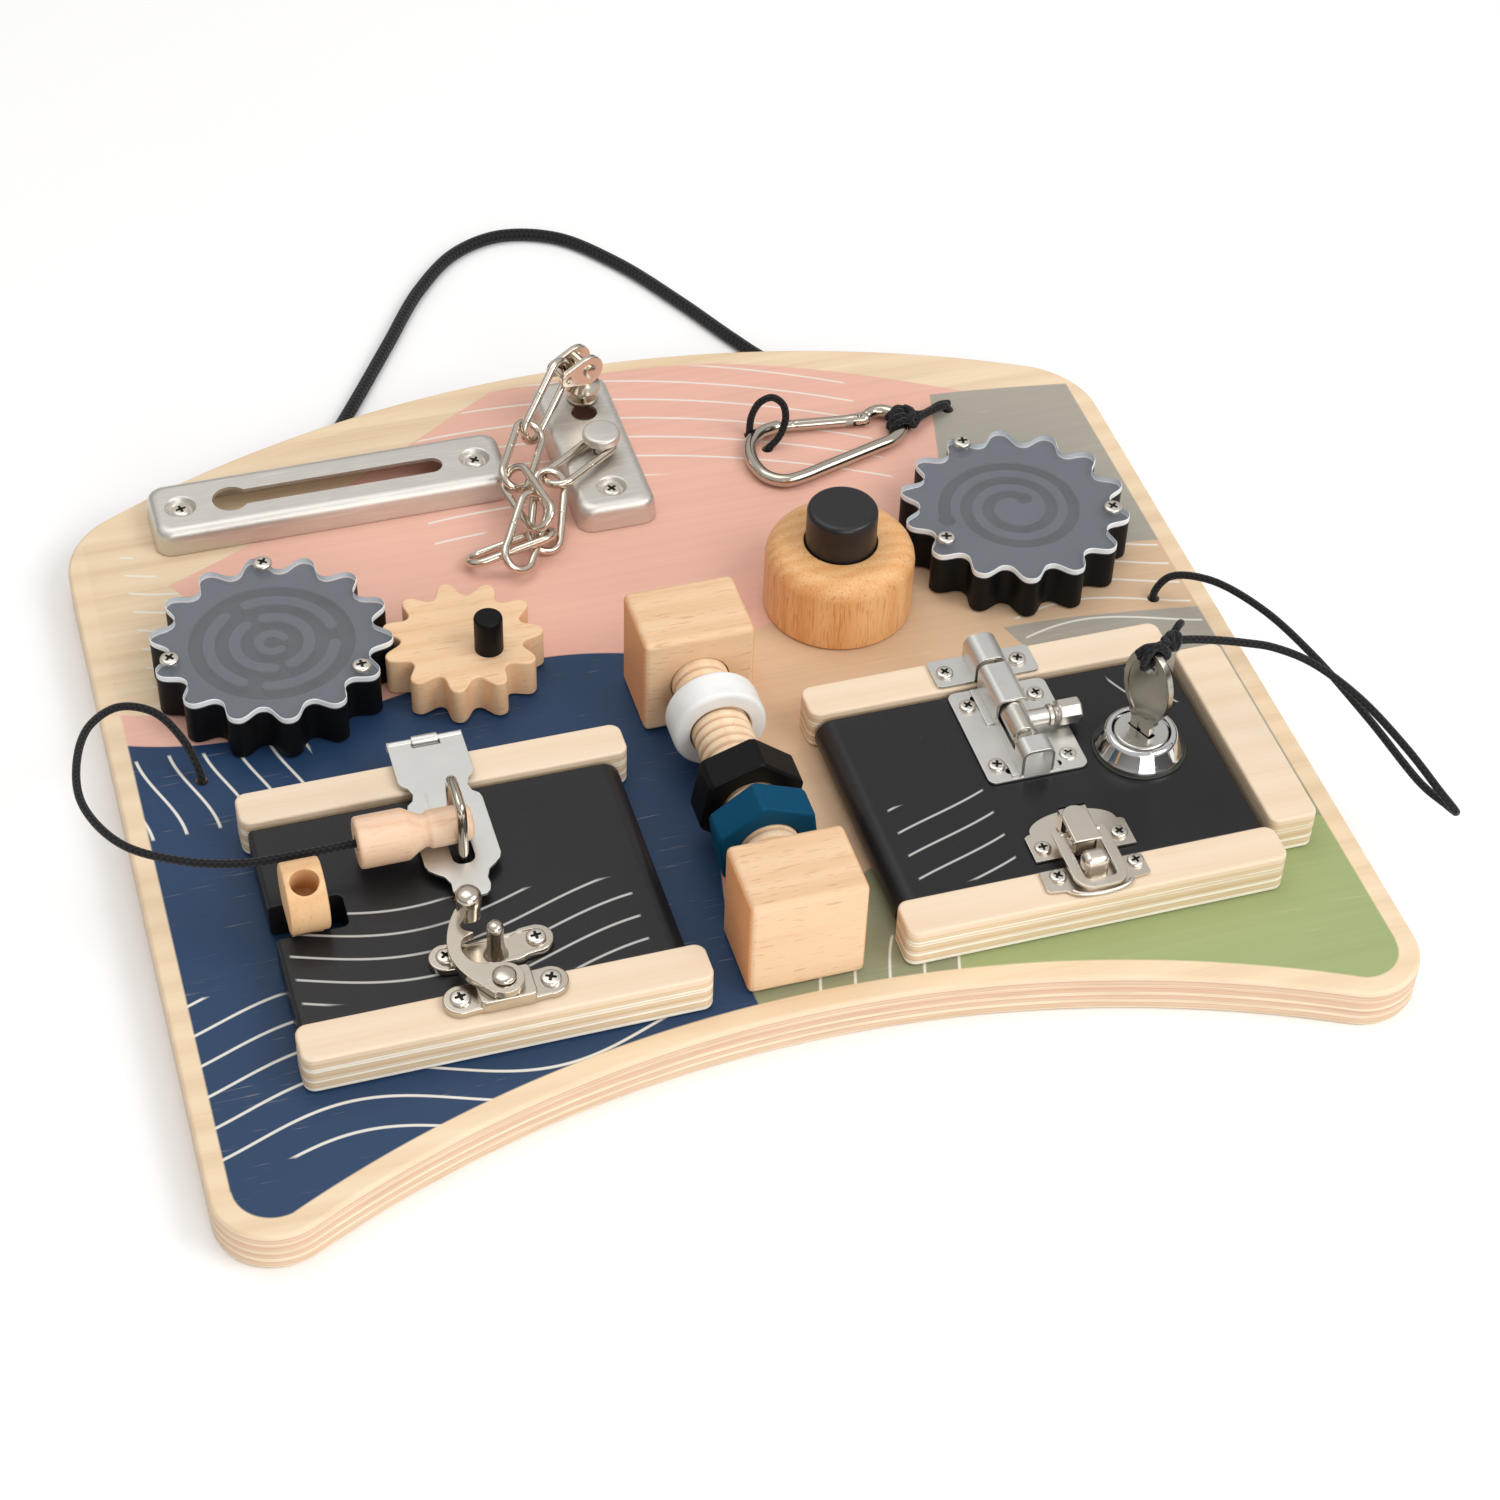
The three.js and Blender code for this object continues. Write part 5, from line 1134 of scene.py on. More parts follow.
o = cut(pressed(-148.2, -29.6, 106.5, 133.5, 5.5, OUT), pressed(-148.2, -29.6, 106.5, 133.5, 5.5, INN))
o = cup(cup(o, -138, 119.8), -39.8, 119.8)
cut(o, prism(clean(arc(-121.5, 119.6, 6.0, 38, 322, 30) + arc(-54.5, 119.6, 3.7, -90, 90, 14)), 10, 25))
piece(soften(o, 0.3, 55, 2), "chain_track_body", "board", m_steel, ["chain_track"], sharp=40)
o = cut(pressed(-13, 14, 82.8, 154.0, 5.5, OUT), pressed(-13, 14, 82.8, 154.0, 5.5, INN))
o = cup(o, 0.6, 94.0)
cut(o, prism(clean(arc(1.6, 133.6, 4.4, 126, 414, 30) + arc(1.6, 140.5, 2.6, 0, 180, 12)), 10, 25), cyl("z", 2.7, *STUD, 20, 25, 32))
piece(soften(o, 0.3, 55, 2), "chain_plate_body", "board", m_steel, ["chain_plate"], sharp=40)
s = [screw(-138, 119.8, 20.95, 3.1, 1.4, 15), screw(-39.8, 119.8, 20.95, 3.1, 1.4, 50), screw(0.6, 94.0, 20.95, 3.1, 1.4, 30)]
piece(merge(*s), "chain_screws", "board", [m_screw, m_recess_shade])

M = T(*RIVET) @ RZ(CLEVIS_TURN)
ck = arc(0, 0, 5.5, 70, 290, 30) + arc(8.5, 0, 3.0, -75, 75, 14)
parts = [prism(ck, -4.7, -2.55, 0.45, 3, M @ PY), prism(ck, 2.55, 4.7, 0.45, 3, M @ PY)]
parts.append(lathe([(0, -5.9), (1.6, -5.85), (2.3, -5.5), (2.5, -4.9), (2.4, -4.6), (2.1, -4.4), (2.1, 4.4), (2.4, 4.6), (2.5, 4.9), (2.3, 5.5), (1.6, 5.85), (0, 5.9)], seg=40, M=M @ MY))
parts.append(lathe([(0, -4.9), (1.2, -4.8), (1.8, -4.3), (1.5, -4.0), (1.5, 4.0), (1.8, 4.3), (1.2, 4.8), (0, 4.9)], seg=32, M=M @ T(8.5, 0, 0) @ MY))
parts.append(lathe([(0, -13.85), (5.2, -13.85), (5.4, -13.5), (5.2, -12.7), (2.5, -12.5), (2.3, -12.2), (2.3, -9.5), (6.0, -9.3), (6.3, -8.9), (6.2, -8.3), (5.4, -8.0), (3.4, -6.8), (2.5, -5.4), (2.3, 1), (0, 1)], seg=48, M=M))
piece(merge(*parts), "clevis_body", "board", m_link, ["clevis"], sharp=40)

LINKS = [
    ((-12.13, 131.38, 32.53), (-0.600, -0.600, -0.529), (0.480, 0.259, -0.838)),
    ((-24.71, 113.88, 25.64), (-0.459, -0.884, -0.092), (0.752, -0.332, -0.569)),
    ((-28.48, 91.67, 26.07), (0.168, -0.986, 0.013), (0.725, 0.133, 0.675)),
    ((-32.12, 78.85, 22.98), (-0.479, -0.846, -0.236), (0.770, -0.275, -0.576)),
    ((-37.83, 77.52, 18.90), (0.983, 0.155, 0.100), (0.095, -0.893, 0.441)),
    ((-22.47, 89.00, 21.61), (0.307, 0.875, 0.374), (-0.929, 0.190, 0.319)),
    ((-7.29, 106.16, 25.87), (0.835, 0.549, 0.028), (-0.541, 0.830, -0.135)),
]
for k, (c, u, v) in enumerate(LINKS):
    U = Vector(u).normalized()
    V = Vector(v)
    V = (V - U * V.dot(U)).normalized()
    Rr, hh = 5.05, 9.75
    flat = [(hh + Rr * math.cos(rad(q)), Rr * math.sin(rad(q))) for q in range(-90, 91, 9)]
    flat += [(hh - 2 * hh * i / 16, Rr) for i in range(1, 16)]
    flat += [(-hh + Rr * math.cos(rad(q)), Rr * math.sin(rad(q))) for q in range(90, 271, 9)]
    flat += [(-hh + 2 * hh * t, -Rr) for t in (0.2, 0.38, 0.46, 0.485, 0.492, 0.5, 0.508, 0.515, 0.54, 0.62, 0.8)]
    pts = [Vector(c) + U * a + V * b_ for a, b_ in flat]
    n = len(pts)
    seam = n - 6

    def seam_r(t, n=n, seam=seam):
        i = round(t * (n - 1))
        return {seam: 0.90, seam - 1: 1.03, seam + 1: 1.03, seam - 2: 1.045, seam + 2: 1.045}.get(i, 1.0)
    o = sweep(pts, 1.36, 20, closed=True, rfun=seam_r)
    piece(o, "chain_link_%d_wire" % (k + 1), "board", m_link, ["chain_link_%d" % (k + 1)], sharp=60)
o = lathe([(0, 17.6), (3.6, 17.6), (3.6, 19.4), (2.2, 19.6), (2.2, 28.5), (5.2, 28.7), (6.1, 29.0), (6.35, 29.6), (6.35, 31.2), (6.15, 31.75), (5.7, 32.05), (5.0, 32.2), (0, 32.2)], *STUD, seg=64)
piece(o, "chain_stud_pin", "chain_stud", m_steel, ["chain_stud"], sharp=45)


# ---------------------------------------------------------------------------- doors
def door(xh, xe):
    r, zm = 1.6, (DOOR_Z1 - 1.6, DOOR_Z0 + 1.6)
    if xe < xh:
        p = arc(xh, HINGE_Z, HINGE_R, -90, 90, 28) + arc(xe + r, zm[0], r, 90, 180, 6) + arc(xe + r, zm[1], r, 180, 270, 6)
    else:
        p = arc(xh, HINGE_Z, HINGE_R, 90, 270, 28) + arc(xe - r, zm[1], r, -90, 0, 6) + arc(xe - r, zm[0], r, 0, 90, 6)
    o = prism(p, -DOOR_Y1, -DOOR_Y0, 1.0, 3, PY)
    return merge(o, cyl("y", PIN_R, xh, HINGE_Z, -115.6, -110.0, 40), cyl("y", PIN_R, xh, HINGE_Z, -34.0, -28.4, 40))


def split_pins(xh):
    return merge(cyl("y", PIN_R, xh, HINGE_Z, -115.6, -110.5, 40), cyl("y", PIN_R, xh, HINGE_Z, -33.6, -28.4, 40))


def door_slab(xh, xe):
    r, zm = 1.6, (DOOR_Z1 - 1.6, DOOR_Z0 + 1.6)
    if xe < xh:
        p = arc(xh, HINGE_Z, HINGE_R, -90, 90, 28) + arc(xe + r, zm[0], r, 90, 180, 6) + arc(xe + r, zm[1], r, 180, 270, 6)
    else:
        p = arc(xh, HINGE_Z, HINGE_R, 90, 270, 28) + arc(xe - r, zm[1], r, -90, 0, 6) + arc(xe - r, zm[0], r, 0, 90, 6)
    return prism(p, -DOOR_Y1, -DOOR_Y0, 1.0, 3, PY)


o = door_slab(LD_HINGE, LD_X0)
cut(o, prism(arc(-124.5, -67.0, 2.0, 0, 90, 5) + [(-150, -65.0), (-150, -77.5)] + arc(-124.5, -75.5, 2.0, -90, 0, 5), 10, 30))
o = merge(soften(o, 0.5, 60, 2), split_pins(LD_HINGE))
piece(o, "left_door_panel", "left_door", m_door_l, ["left_door"], sharp=40)
o = door_slab(RD_HINGE, RD_X1)
sector = [(LOCK[0], LOCK[1])] + arc(*LOCK, 29, -98, 8, 20)
cut(o, cyl("z", 10.2, *LOCK, 10, 30, 64), prism(sector, 10, 18), box(LOCK[0], 150, LOCK[1] - 4, LOCK[1] + 4.2, 10, 18), box(LOCK[0] - 4.2, LOCK[0] + 4, LOCK[1] - 29, LOCK[1], 10, 18))
o = merge(o, split_pins(RD_HINGE))
piece(o, "right_door_panel", "right_door", m_door_r, ["right_door"], sharp=40)

# ---------------------------------------------------------------------------- left door fastenings
half = [(1.45 * math.cos(rad(q)), 1.45 * math.sin(rad(q))) for q in range(0, 181, 15)]
parts = []
x, yF, yR, zt, z0 = -86.0, -64.0, -49.5, 50.0, 26.75
route = [(x, yF, z0), (x, yF, 38), (x, yF, 46), (x, yF + 1.2, 49.0), (x, yF + 4.0, zt), (x, yR - 4.0, zt), (x, yR - 1.2, 49.0), (x, yR, 46), (x, yR, 38), (x, yR, z0)]
for sgn in (1, -1):
    pts = [p + Vector((sgn * 0.09, 0, 0)) for p in catmull(route, 90)]
    sec = [(sgn * s_[1], s_[0]) for s_ in half]
    parts.append(sweep(pts, 1.4, section=sec, up=(1, 0, 0)))
piece(merge(*parts), "staple_wire", "left_door", m_bright, ["staple"], sharp=50)

s = arc(-99.4, -98.9, 5.0, 95, 265, 20) + [(-95.2, -104.3), (-92, -105.3), (-80, -105.0), (-76.8, -103.9)] + arc(-73.2, -98.3, 5.1, -90, 85, 20) + [(-77, -93.5), (-80, -94.4), (-92, -94.8), (-95.5, -94.2)]
o = prism(smooth_loop(clean(s), 3), 26.7, 29.0, 0.5, 3, both=False)
cut(o, prism(smooth_loop(clean([((px + 86.3) * 0.87 - 86.3, (py + 99.8) * 0.74 - 99.8) for px, py in s]), 3), 28.5, 30))
o = soften(o, 0.22, 50, 2)
o = merge(o, lathe([(0, 28), (3.7, 28), (3.6, 28.8), (3.15, 29.6), (2.85, 30.6), (2.6, 32.2), (2.45, 33.2), (2.4, 35.6), (2.38, 37.4), (2.45, 38.0), (2.5, 38.8), (2.45, 40.0), (2.15, 40.8), (1.5, 41.35), (0.7, 41.58), (0, 41.6)], -85.5, -101.25, seg=64))
piece(o, "strike_plate_body", "left_door", m_cast, ["strike_plate"], sharp=40)

cz, r = 35.3, 10.5
o = lathe([(0, -5.75), (r - 0.8, -5.75), (r - 0.25, -5.5), (r, -4.95), (r, 4.95), (r - 0.25, 5.5), (r - 0.8, 5.75), (0, 5.75)], seg=96, M=T(*LATCH, cz) @ RY(90))
o = common(o, box(LATCH[0] - 10, LATCH[0] + 10, LATCH[1] - 12, LATCH[1] + 12, 27.7, 60))
fuse(o, cyl("z", 4.6, *LATCH, ON, 29, 48))
cut(o, lathe([(0, -11.0), (4.05, -11.0), (4.05, 3.0), (4.6, 5.2), (5.2, 7.4), (0, 7.4)], seg=40, M=T(LATCH[0], LATCH[1] - 2.4, cz + 6.2) @ RX(22)))
piece(soften(o, 0.5, 50, 3), "turn_latch_wood", "turn_latch", m_latch, ["turn_latch"], sharp=40)

# hasp
leaf = box(-96.5, -76.3, -31.5, -14.4, 28.3, 29.1, 0.15, 1)
cut(leaf, box(-98, -90.6, -19, -11, 28, 32), box(-82.2, -74, -19, -11, 28, 32))
parts = [leaf, lathe([(0, -90.4), (1.5, -90.4), (1.75, -90.1), (1.75, -82.7), (1.5, -82.4), (0, -82.4)], seg=40, M=T(0, -13.4, 29.9) @ Matrix(((0, 0, 1, 0), (0, 1, 0, 0), (1, 0, 0, 0), (0, 0, 0, 1)))),
         cyl("x", 1.0, -13.4, 29.9, -97.5, -75.3, 32, 0.2)]
piece(merge(*parts), "hasp_leaf_strip", "board", m_plate, ["hasp_leaf"], sharp=40)
half_o = [(-97.9, -12.3), (-97.9, -14.2), (-97.9, -22), (-97.9, -29.6), (-97.2, -31.2), (-95.6, -32.6), (-94.7, -35.4), (-95.4, -38.0), (-97.2, -39.6), (-97.7, -41.5), (-97.7, -52), (-97.7, -64.6), (-97.0, -66.6), (-95.2, -68.4), (-93.0, -70.2), (-91.8, -73.2), (-92.0, -76.0), (-91.4, -78.2), (-90.0, -79.5), (-88.0, -79.6)]
mir = [(-172.8 - px, py) for px, py in half_o[::-1]]
pl = prism(half_o + mir, 29.4, 30.4, 0.2, 2)
cut(pl, prism(rrect(-89.4, -82.6, -66.6, -46.9, 2.9, 8), 28, 32), box(-90.8, -82.0, -16.6, -8, 27, 33))
parts = [pl]
MXA = T(0, -13.4, 29.9) @ Matrix(((0, 0, 1, 0), (0, 1, 0, 0), (1, 0, 0, 0), (0, 0, 0, 1)))
for a_, b_ in ((-97.9, -91.2), (-81.6, -74.9)):
    parts.append(lathe([(1.05, a_), (1.4, a_), (1.5, a_ + 0.15), (1.5, b_ - 0.15), (1.4, b_), (1.05, b_), (1.05, a_)], seg=40, M=T(0, 0, -0.95) @ MXA))
piece(merge(*parts), "hasp_plate_strap", "hasp", m_plate, ["hasp_plate"], sharp=40)
# the rolled seam that runs down the strap beside the slot
piece(merge(box(-91.3, -90.6, -44.5, -36.0, 30.35, 30.62, 0.12, 2), box(-81.9, -81.2, -44.5, -36.0, 30.35, 30.62, 0.12, 2)), "hasp_ribs", "hasp", m_plate)

o = lathe([(0, -115.8), (6.6, -115.8), (7.3, -115.6), (7.65, -115.1), (7.75, -114.4), (7.75, -102.0), (7.6, -101.2), (7.2, -100.5), (6.4, -99.2), (5.6, -97.8), (5.05, -96.6), (4.9, -95.9), (5.0, -95.2), (5.5, -94.5), (5.7, -93.8), (5.62, -84.4), (5.4, -83.2), (4.9, -82.3), (4.1, -81.8), (3.2, -81.6), (0, -81.6)],
          seg=72, M=T(0, PEG_Y, PEG_Z) @ Matrix(((0, 0, 1, 0), (0, 1, 0, 0), (1, 0, 0, 0), (0, 0, 0, 1))))
cut(o, cyl("x", 2.3, PEG_Y, PEG_Z, -117, -100.6, 32))
piece(o, "lock_peg_wood", "lock_peg", m_peg, ["lock_peg"], sharp=50)

# swing hook
z0 = RAIL_TOP + 0.3
s = arc(-99.0, -116.4, 5.2, 75, 285, 24) + [(-94.5, -121.2), (-86.5, -121.6), (-79.0, -121.2)] + arc(-73.4, -115.9, 5.2, -105, 105, 24) + [(-79.0, -111.0), (-86.5, -110.6), (-94.5, -111.2)]
o = prism(smooth_loop(clean(s), 2), z0, 30.4, 0.5, 3, both=False)
parts = [o, prism(rrect(-94.4, -78.2, -121.75, -110.4, 1.6, 6), z0 + 0.5, 32.9, 0.45, 3, both=False)]
parts.append(lathe([(0, 31), (2.0, 31), (2.0, 35.9), (3.3, 35.95), (3.45, 36.3), (3.35, 36.8), (2.9, 37.2), (2.1, 37.45), (1.1, 37.55), (0, 37.58)], *HOOK, seg=48))
piece(merge(*parts), "hook_base_body", "board", m_cast, ["hook_base"], sharp=40)
o_ = [(-86.9, -89.6), (-88.2, -87.4), (-90.4, -86.4), (-93.0, -86.9), (-95.2, -89.6), (-97.4, -94.0), (-99.0, -99.2), (-99.3, -104.0), (-98.3, -108.8), (-96.2, -113.2), (-93.4, -117.0), (-90.6, -120.9)]
a_ = 235.0
while a_ <= 440:
    o_.append((HOOK[0] + 5.7 * math.cos(rad(a_)), HOOK[1] + 5.7 * math.sin(rad(a_))))
    a_ += 20.5
o_ += [(-87.6, -110.1), (-90.8, -109.6), (-93.6, -108.0), (-95.2, -105.2), (-95.5, -102.2), (-94.6, -99.8), (-92.9, -98.4), (-90.9, -97.7), (-92.6, -96.6), (-93.8, -95.0), (-93.6, -93.2), (-92.0, -92.0), (-89.6, -91.6), (-87.6, -91.4)]
o = prism(smooth_loop(o_, 4), 33.1, 35.6, 0.55, 3)
cut(o, cyl("z", 2.4, *HOOK, 30, 40, 32))
o = merge(o, lathe([(0, 34.6), (3.3, 34.6), (3.35, 35.6), (3.4, 36.6), (3.5, 38.0), (3.65, 39.2), (3.8, 40.3), (3.87, 41.0), (3.87, 42.0), (3.7, 42.9), (3.25, 43.7), (2.5, 44.25), (1.4, 44.58), (0, 44.65)], -90.5, -90.0, seg=64))
piece(o, "hook_arm_body", "hook_arm", m_cast, ["hook_arm"], sharp=40)
s = [screw(-99.2, -116.4, 30.4, 3.0, 1.3, 10), screw(-73.2, -115.9, 30.4, 3.0, 1.3, 65)]
piece(merge(*s), "hook_base_screws", "board", [m_screw, m_recess_shade])
s = [screw(-99.4, -98.9, 28.7, 2.9, 1.3, 35), screw(-73.2, -98.3, 28.7, 2.9, 1.3, 5)]
piece(merge(*s), "strike_plate_screws", "left_door", [m_screw, m_recess_shade])


# ---------------------------------------------------------------------------- barrel bolt
def channel(w, h, t, y0, y1, z0, r=2.8):
    x0, x1 = BOLT_X - w / 2, BOLT_X + w / 2
    z = z0 + h - r
    outer_ = [(x0, z0), (x1, z0)] + arc(x1 - r, z, r, 0, 90, 10) + arc(x0 + r, z, r, 90, 180, 10)
    inner_ = [(x0 + t, z0 - 2), (x1 - t, z0 - 2)] + arc(x1 - r, z, r - t, 0, 90, 10) + arc(x0 + r, z, r - t, 90, 180, 10)
    o = prism_y(outer_, y0, y1, 0.12, 1)
    return cut(o, prism_y(inner_, y0 - 0.5, y1 + 0.5))


z0 = DOOR_Z1 + 0.3
zt = z0 + 0.8
pl = prism(rrect(72.7, 104.5, -73.7, -33.5, 2.6, 8), z0, zt, 0.2, 2)
for sx, sy in ((80.4, -37.5), (95.4, -37.5), (80.2, -69.8), (95.4, -70.4)):
    cut(pl, cyl("z", 1.3, sx, sy, 20, 40, 20))
parts = [pl]
a1 = channel(10.4, 10.7, 0.9, -50.3, -33.6, z0 + 0.05)
cut(a1, box(BOLT_X + 3.5, BOLT_X + 7, -51.0, -44.2, 29.1, 35.6, 0.0))
parts += [a1, channel(10.4, 10.7, 0.9, -73.2, -66.4, z0 + 0.05)]
for y0_, y1_ in ((-50.3, -33.6), (-73.2, -66.4)):
    for sg in (-1, 1):
        xx = BOLT_X + sg * 6.4
        parts.append(box(min(xx - 1.3, xx + 1.3), max(xx - 1.3, xx + 1.3), y0_ + 0.4, y1_ - 0.4, zt - 0.05, zt + 0.75, 0.3, 2))
parts.append(box(BOLT_X - 5.2, BOLT_X - 4.3, -66.6, -50.2, zt - 0.2, 30.4, 0.15, 1))
piece(merge(*parts), "bolt_plate_body", "right_door", m_plate, ["bolt_plate"], sharp=40)
r_ = 4.0
o = lathe([(0, -62.0), (2.3, -62.0), (2.4, -61.2), (3.0, -61.2), (3.7, -61.8), (r_, -61.4), (r_, -33.0), (3.6, -32.2), (3.0, -32.0), (0, -32.0)], seg=48, M=T(BOLT_X, 0, BOLT_Z) @ MY)
parts = [o]
MXB = T(0, -54.6, BOLT_Z) @ Matrix(((0, 0, 1, 0), (0, 1, 0, 0), (1, 0, 0, 0), (0, 0, 0, 1)))
parts.append(lathe([(0, BOLT_X), (2.6, BOLT_X), (2.6, 97.2), (3.3, 97.6), (3.4, 98.6), (2.9, 99.2), (2.6, 99.6), (2.6, 100.6), (0, 100.6)], seg=40, M=MXB))
kn = [(4.2 * math.cos(rad(22.5 + 45 * i)), 4.2 * math.sin(rad(22.5 + 45 * i))) for i in range(8)]
parts.append(prism([(-54.6 + px, BOLT_Z + pz) for px, pz in kn], 100.3, 107.9, 0.9, 3, PX))
piece(merge(*parts), "bolt_rod_body", "bolt_rod", m_rod, ["bolt_rod"], sharp=40)
kz = RAIL_TOP + 0.3
pl = prism(rrect(70.8, 104.0, -31.6, -19.8, 1.4, 6), kz, kz + 0.9, 0.2, 2)
cut(pl, box(BOLT_X - 4.3, BOLT_X + 4.3, -40, -10, 20, 40))
parts = [pl, channel(10.4, 37.42 - kz, 0.9, -31.6, -19.8, kz + 0.05, 3.8)]
piece(merge(*parts), "bolt_keeper_body", "board", m_plate, ["bolt_keeper"], sharp=40)
s = [screw(77.2, -40.6, 27.5, 2.7, 1.3, 40), screw(99.3, -40.5, 27.5, 2.7, 1.3, 12), screw(77.1, -67, 27.5, 2.7, 1.3, 70), screw(99.8, -67.6, 27.2, 2.7, 1.0, 30)]
s += [screw(78.4, -102.8, 27.5, 2.6, 1.2, 0), screw(102.5, -102.5, 27.5, 2.6, 1.2, 28)]
piece(merge(*s), "right_door_screws", "right_door", [m_screw, m_recess_shade])
s = [screw(74.6, -26.3, 29.2, 2.7, 1.3, 33), screw(98.6, -26.1, 29.2, 2.7, 1.3, 62), screw(78, -115.9, 29.1, 2.6, 1.2, 50), screw(102.2, -115.9, 29.1, 2.6, 1.2, 15)]
piece(merge(*s), "keeper_screws", "board", [m_screw, m_recess_shade])

# ---------------------------------------------------------------------------- toggle catch
z0, zt = 26.7, 27.5
py, pz = TOG_P
qy, qz = TOG_Q
arch = [(74.8, -107.3), (106.3, -107.3), (106.3, -97.2), (105.4, -96.5), (104.2, -96.2)]
arch += [(90.5 + 13.7 * math.cos(rad(t)), -96.3 + 6.7 * math.sin(rad(t))) for t in range(8, 173, 8)]
arch += [(76.9, -96.2), (75.7, -96.5), (74.8, -97.2)]
parts = [prism(arch, z0, zt, 0.2, 2), box(TOG_X - 2.7, TOG_X + 2.7, py - 1.9, py + 1.9, zt - 0.2, pz, 0.2, 1)]
b1 = cyl("x", 1.9, py, pz, TOG_X - 2.7, TOG_X + 2.7, 40)
parts.append(cut(b1, cyl("x", 1.2, py, pz, TOG_X - 4, TOG_X + 4, 24)))
piece(merge(*parts), "toggle_base_plate", "right_door", m_toggle, ["toggle_base"], sharp=40)
prof = [(-109.3, 30.4), (-108.9, 29.5), (-107.9, 28.7), (-106.6, 28.1), (-95.0, 28.05), (-95.0, 35.0), (-108.6, 35.0), (-109.15, 34.8), (-109.3, 34.3)]
D_ = lambda e: [(TOG_X - 4.2 + e, -109.3), (TOG_X + 4.2 - e, -109.3)] + arc(TOG_X, -98.8, 4.2 - e, 0, 180, 30)
l = common(prism_x(prof[:6] + [(-95.0, 34.6), (-109.1, 34.6), (-109.3, 34.3)], TOG_X - 4.2, TOG_X + 4.2), prism(D_(0.0), 20, 40))
cut(l, prism([(x_, y_ if y_ > -109 else y_ + 1.0) for x_, y_ in D_(1.0)], 20, 34.0),
    box(TOG_X - 3.1, TOG_X + 3.1, -111, -107.8, 27, 33.4), cyl("x", 1.1, qy, qz, TOG_X - 6, TOG_X + 6, 24))
l = merge(l, prism(D_(0.0), 34.0, 35.0, 0.45, 4, both=False))
parts = [l, cyl("x", 0.9, py, pz, TOG_X - 4.0, TOG_X + 4.0, 24)]
piece(merge(*parts), "toggle_lever_body", "toggle_lever", m_toggle, ["toggle_lever"], sharp=40)
xi, w = 4.9, 3.5
xo = xi + w
lo_ = [(TOG_X - xo, -101.2), (TOG_X - xo, -118.4)] + [(TOG_X - xo + 5.2 * (1 - math.cos(rad(t))), -118.4 - 6.1 * math.sin(rad(t))) for t in range(10, 91, 10)]
lo_ += [(TOG_X + xo - 5.2 * (1 - math.cos(rad(t))), -118.4 - 6.1 * math.sin(rad(t))) for t in range(90, 9, -10)]
lo_ += [(TOG_X + xo, -118.4), (TOG_X + xo, -101.2), (TOG_X + xi, -101.2), (TOG_X + xi, -119.6)]
lo_ += [(TOG_X + xi - 1.9 * (1 - math.cos(rad(t))), -119.6 - 1.9 * math.sin(rad(t))) for t in range(15, 91, 15)]
lo_ += [(TOG_X - xi + 1.9 * (1 - math.cos(rad(t))), -119.6 - 1.9 * math.sin(rad(t))) for t in range(90, 14, -15)]
lo_ += [(TOG_X - xi, -119.6), (TOG_X - xi, -101.2)]
u = prism(lo_, 30.7, 31.9, 0.3, 2)
parts = [u, cyl("x", 0.8, qy, qz, TOG_X - xi - 1, TOG_X - 3.3, 24), cyl("x", 0.8, qy, qz, TOG_X + 3.3, TOG_X + xi + 1, 24)]
piece(merge(*parts), "toggle_loop_strap", "toggle_loop", m_toggle, ["toggle_loop"], sharp=40)
hz = RAIL_TOP + 0.3
hp_ = [(73.4, -112.7), (73.2, -120.4), (73.9, -121.0), (78.6, -121.6)]
hp_ += [(89.4 - 10.4 * math.cos(rad(t)), -121.6 - 3.5 * math.sin(rad(t))) for t in range(10, 171, 8)]
hp_ += [(100, -121.6), (104.6, -121.1), (105.2, -120.5), (105.2, -113.0)]
parts = [prism(hp_, hz, hz + 0.8, 0.2, 2)]
lip = [(89.4 - 9.2 * math.cos(rad(t)), -121.9 - 3.15 * math.sin(rad(t)), hz + 1.0) for t in range(8, 173, 6)]
parts.append(sweep([Vector(q) for q in lip], 0.75, 12))
parts.append(box(88.9 - 4.05, 88.9 + 4.05, -119.3, -113.3, 26.6, 36.7, 2.3, 8))
piece(merge(*parts), "catch_hook_plate", "board", m_toggle, ["catch_hook"], sharp=40)

# ---------------------------------------------------------------------------- lock and key
x, y = LOCK
o = lathe([(8.9, 18.3), (9.8, 18.3), (9.8, 26.9), (13.55, 26.9), (13.85, 27.2), (13.85, 28.0), (13.65, 28.5), (13.1, 29.2), (11.3, 32.6), (10.85, 33.3), (10.2, 33.7), (9.6, 33.8), (9.1, 33.7), (8.9, 33.3), (8.9, 18.3)], x, y, seg=128)
piece(o, "lock_bezel", "right_door", m_chrome, ["lock_body"], sharp=35)
o = lathe([(10.0, 26.45), (14.1, 26.45), (14.3, 26.6), (14.2, 26.95), (13.5, 27.0), (10.0, 27.0), (10.0, 26.45)], x, y, seg=96)
piece(o, "lock_gasket", "right_door", m_rubber)
plug = lathe([(0, 15.2), (6, 15.2), (6, 17.4), (8.5, 17.7), (8.35, 31.4), (7.9, 31.6), (7.9, 32.6), (8.35, 32.8), (8.35, 33.2), (8.1, 33.55), (7.7, 33.7), (0, 33.7)], x, y, seg=96)
plug = fuse(plug, box(x - 3.5, x + 3.5, y - 28, y, 15.2, 17.4))
MK = T(x, y, 0) @ RZ(KEY_ANG)
cut(plug, box(-4.6, 4.6, -1.4, 1.4, 19.4, 49.4, M=MK))
piece(plug, "lock_plug_body", "lock_plug", m_plug, ["lock_plug"], sharp=35)
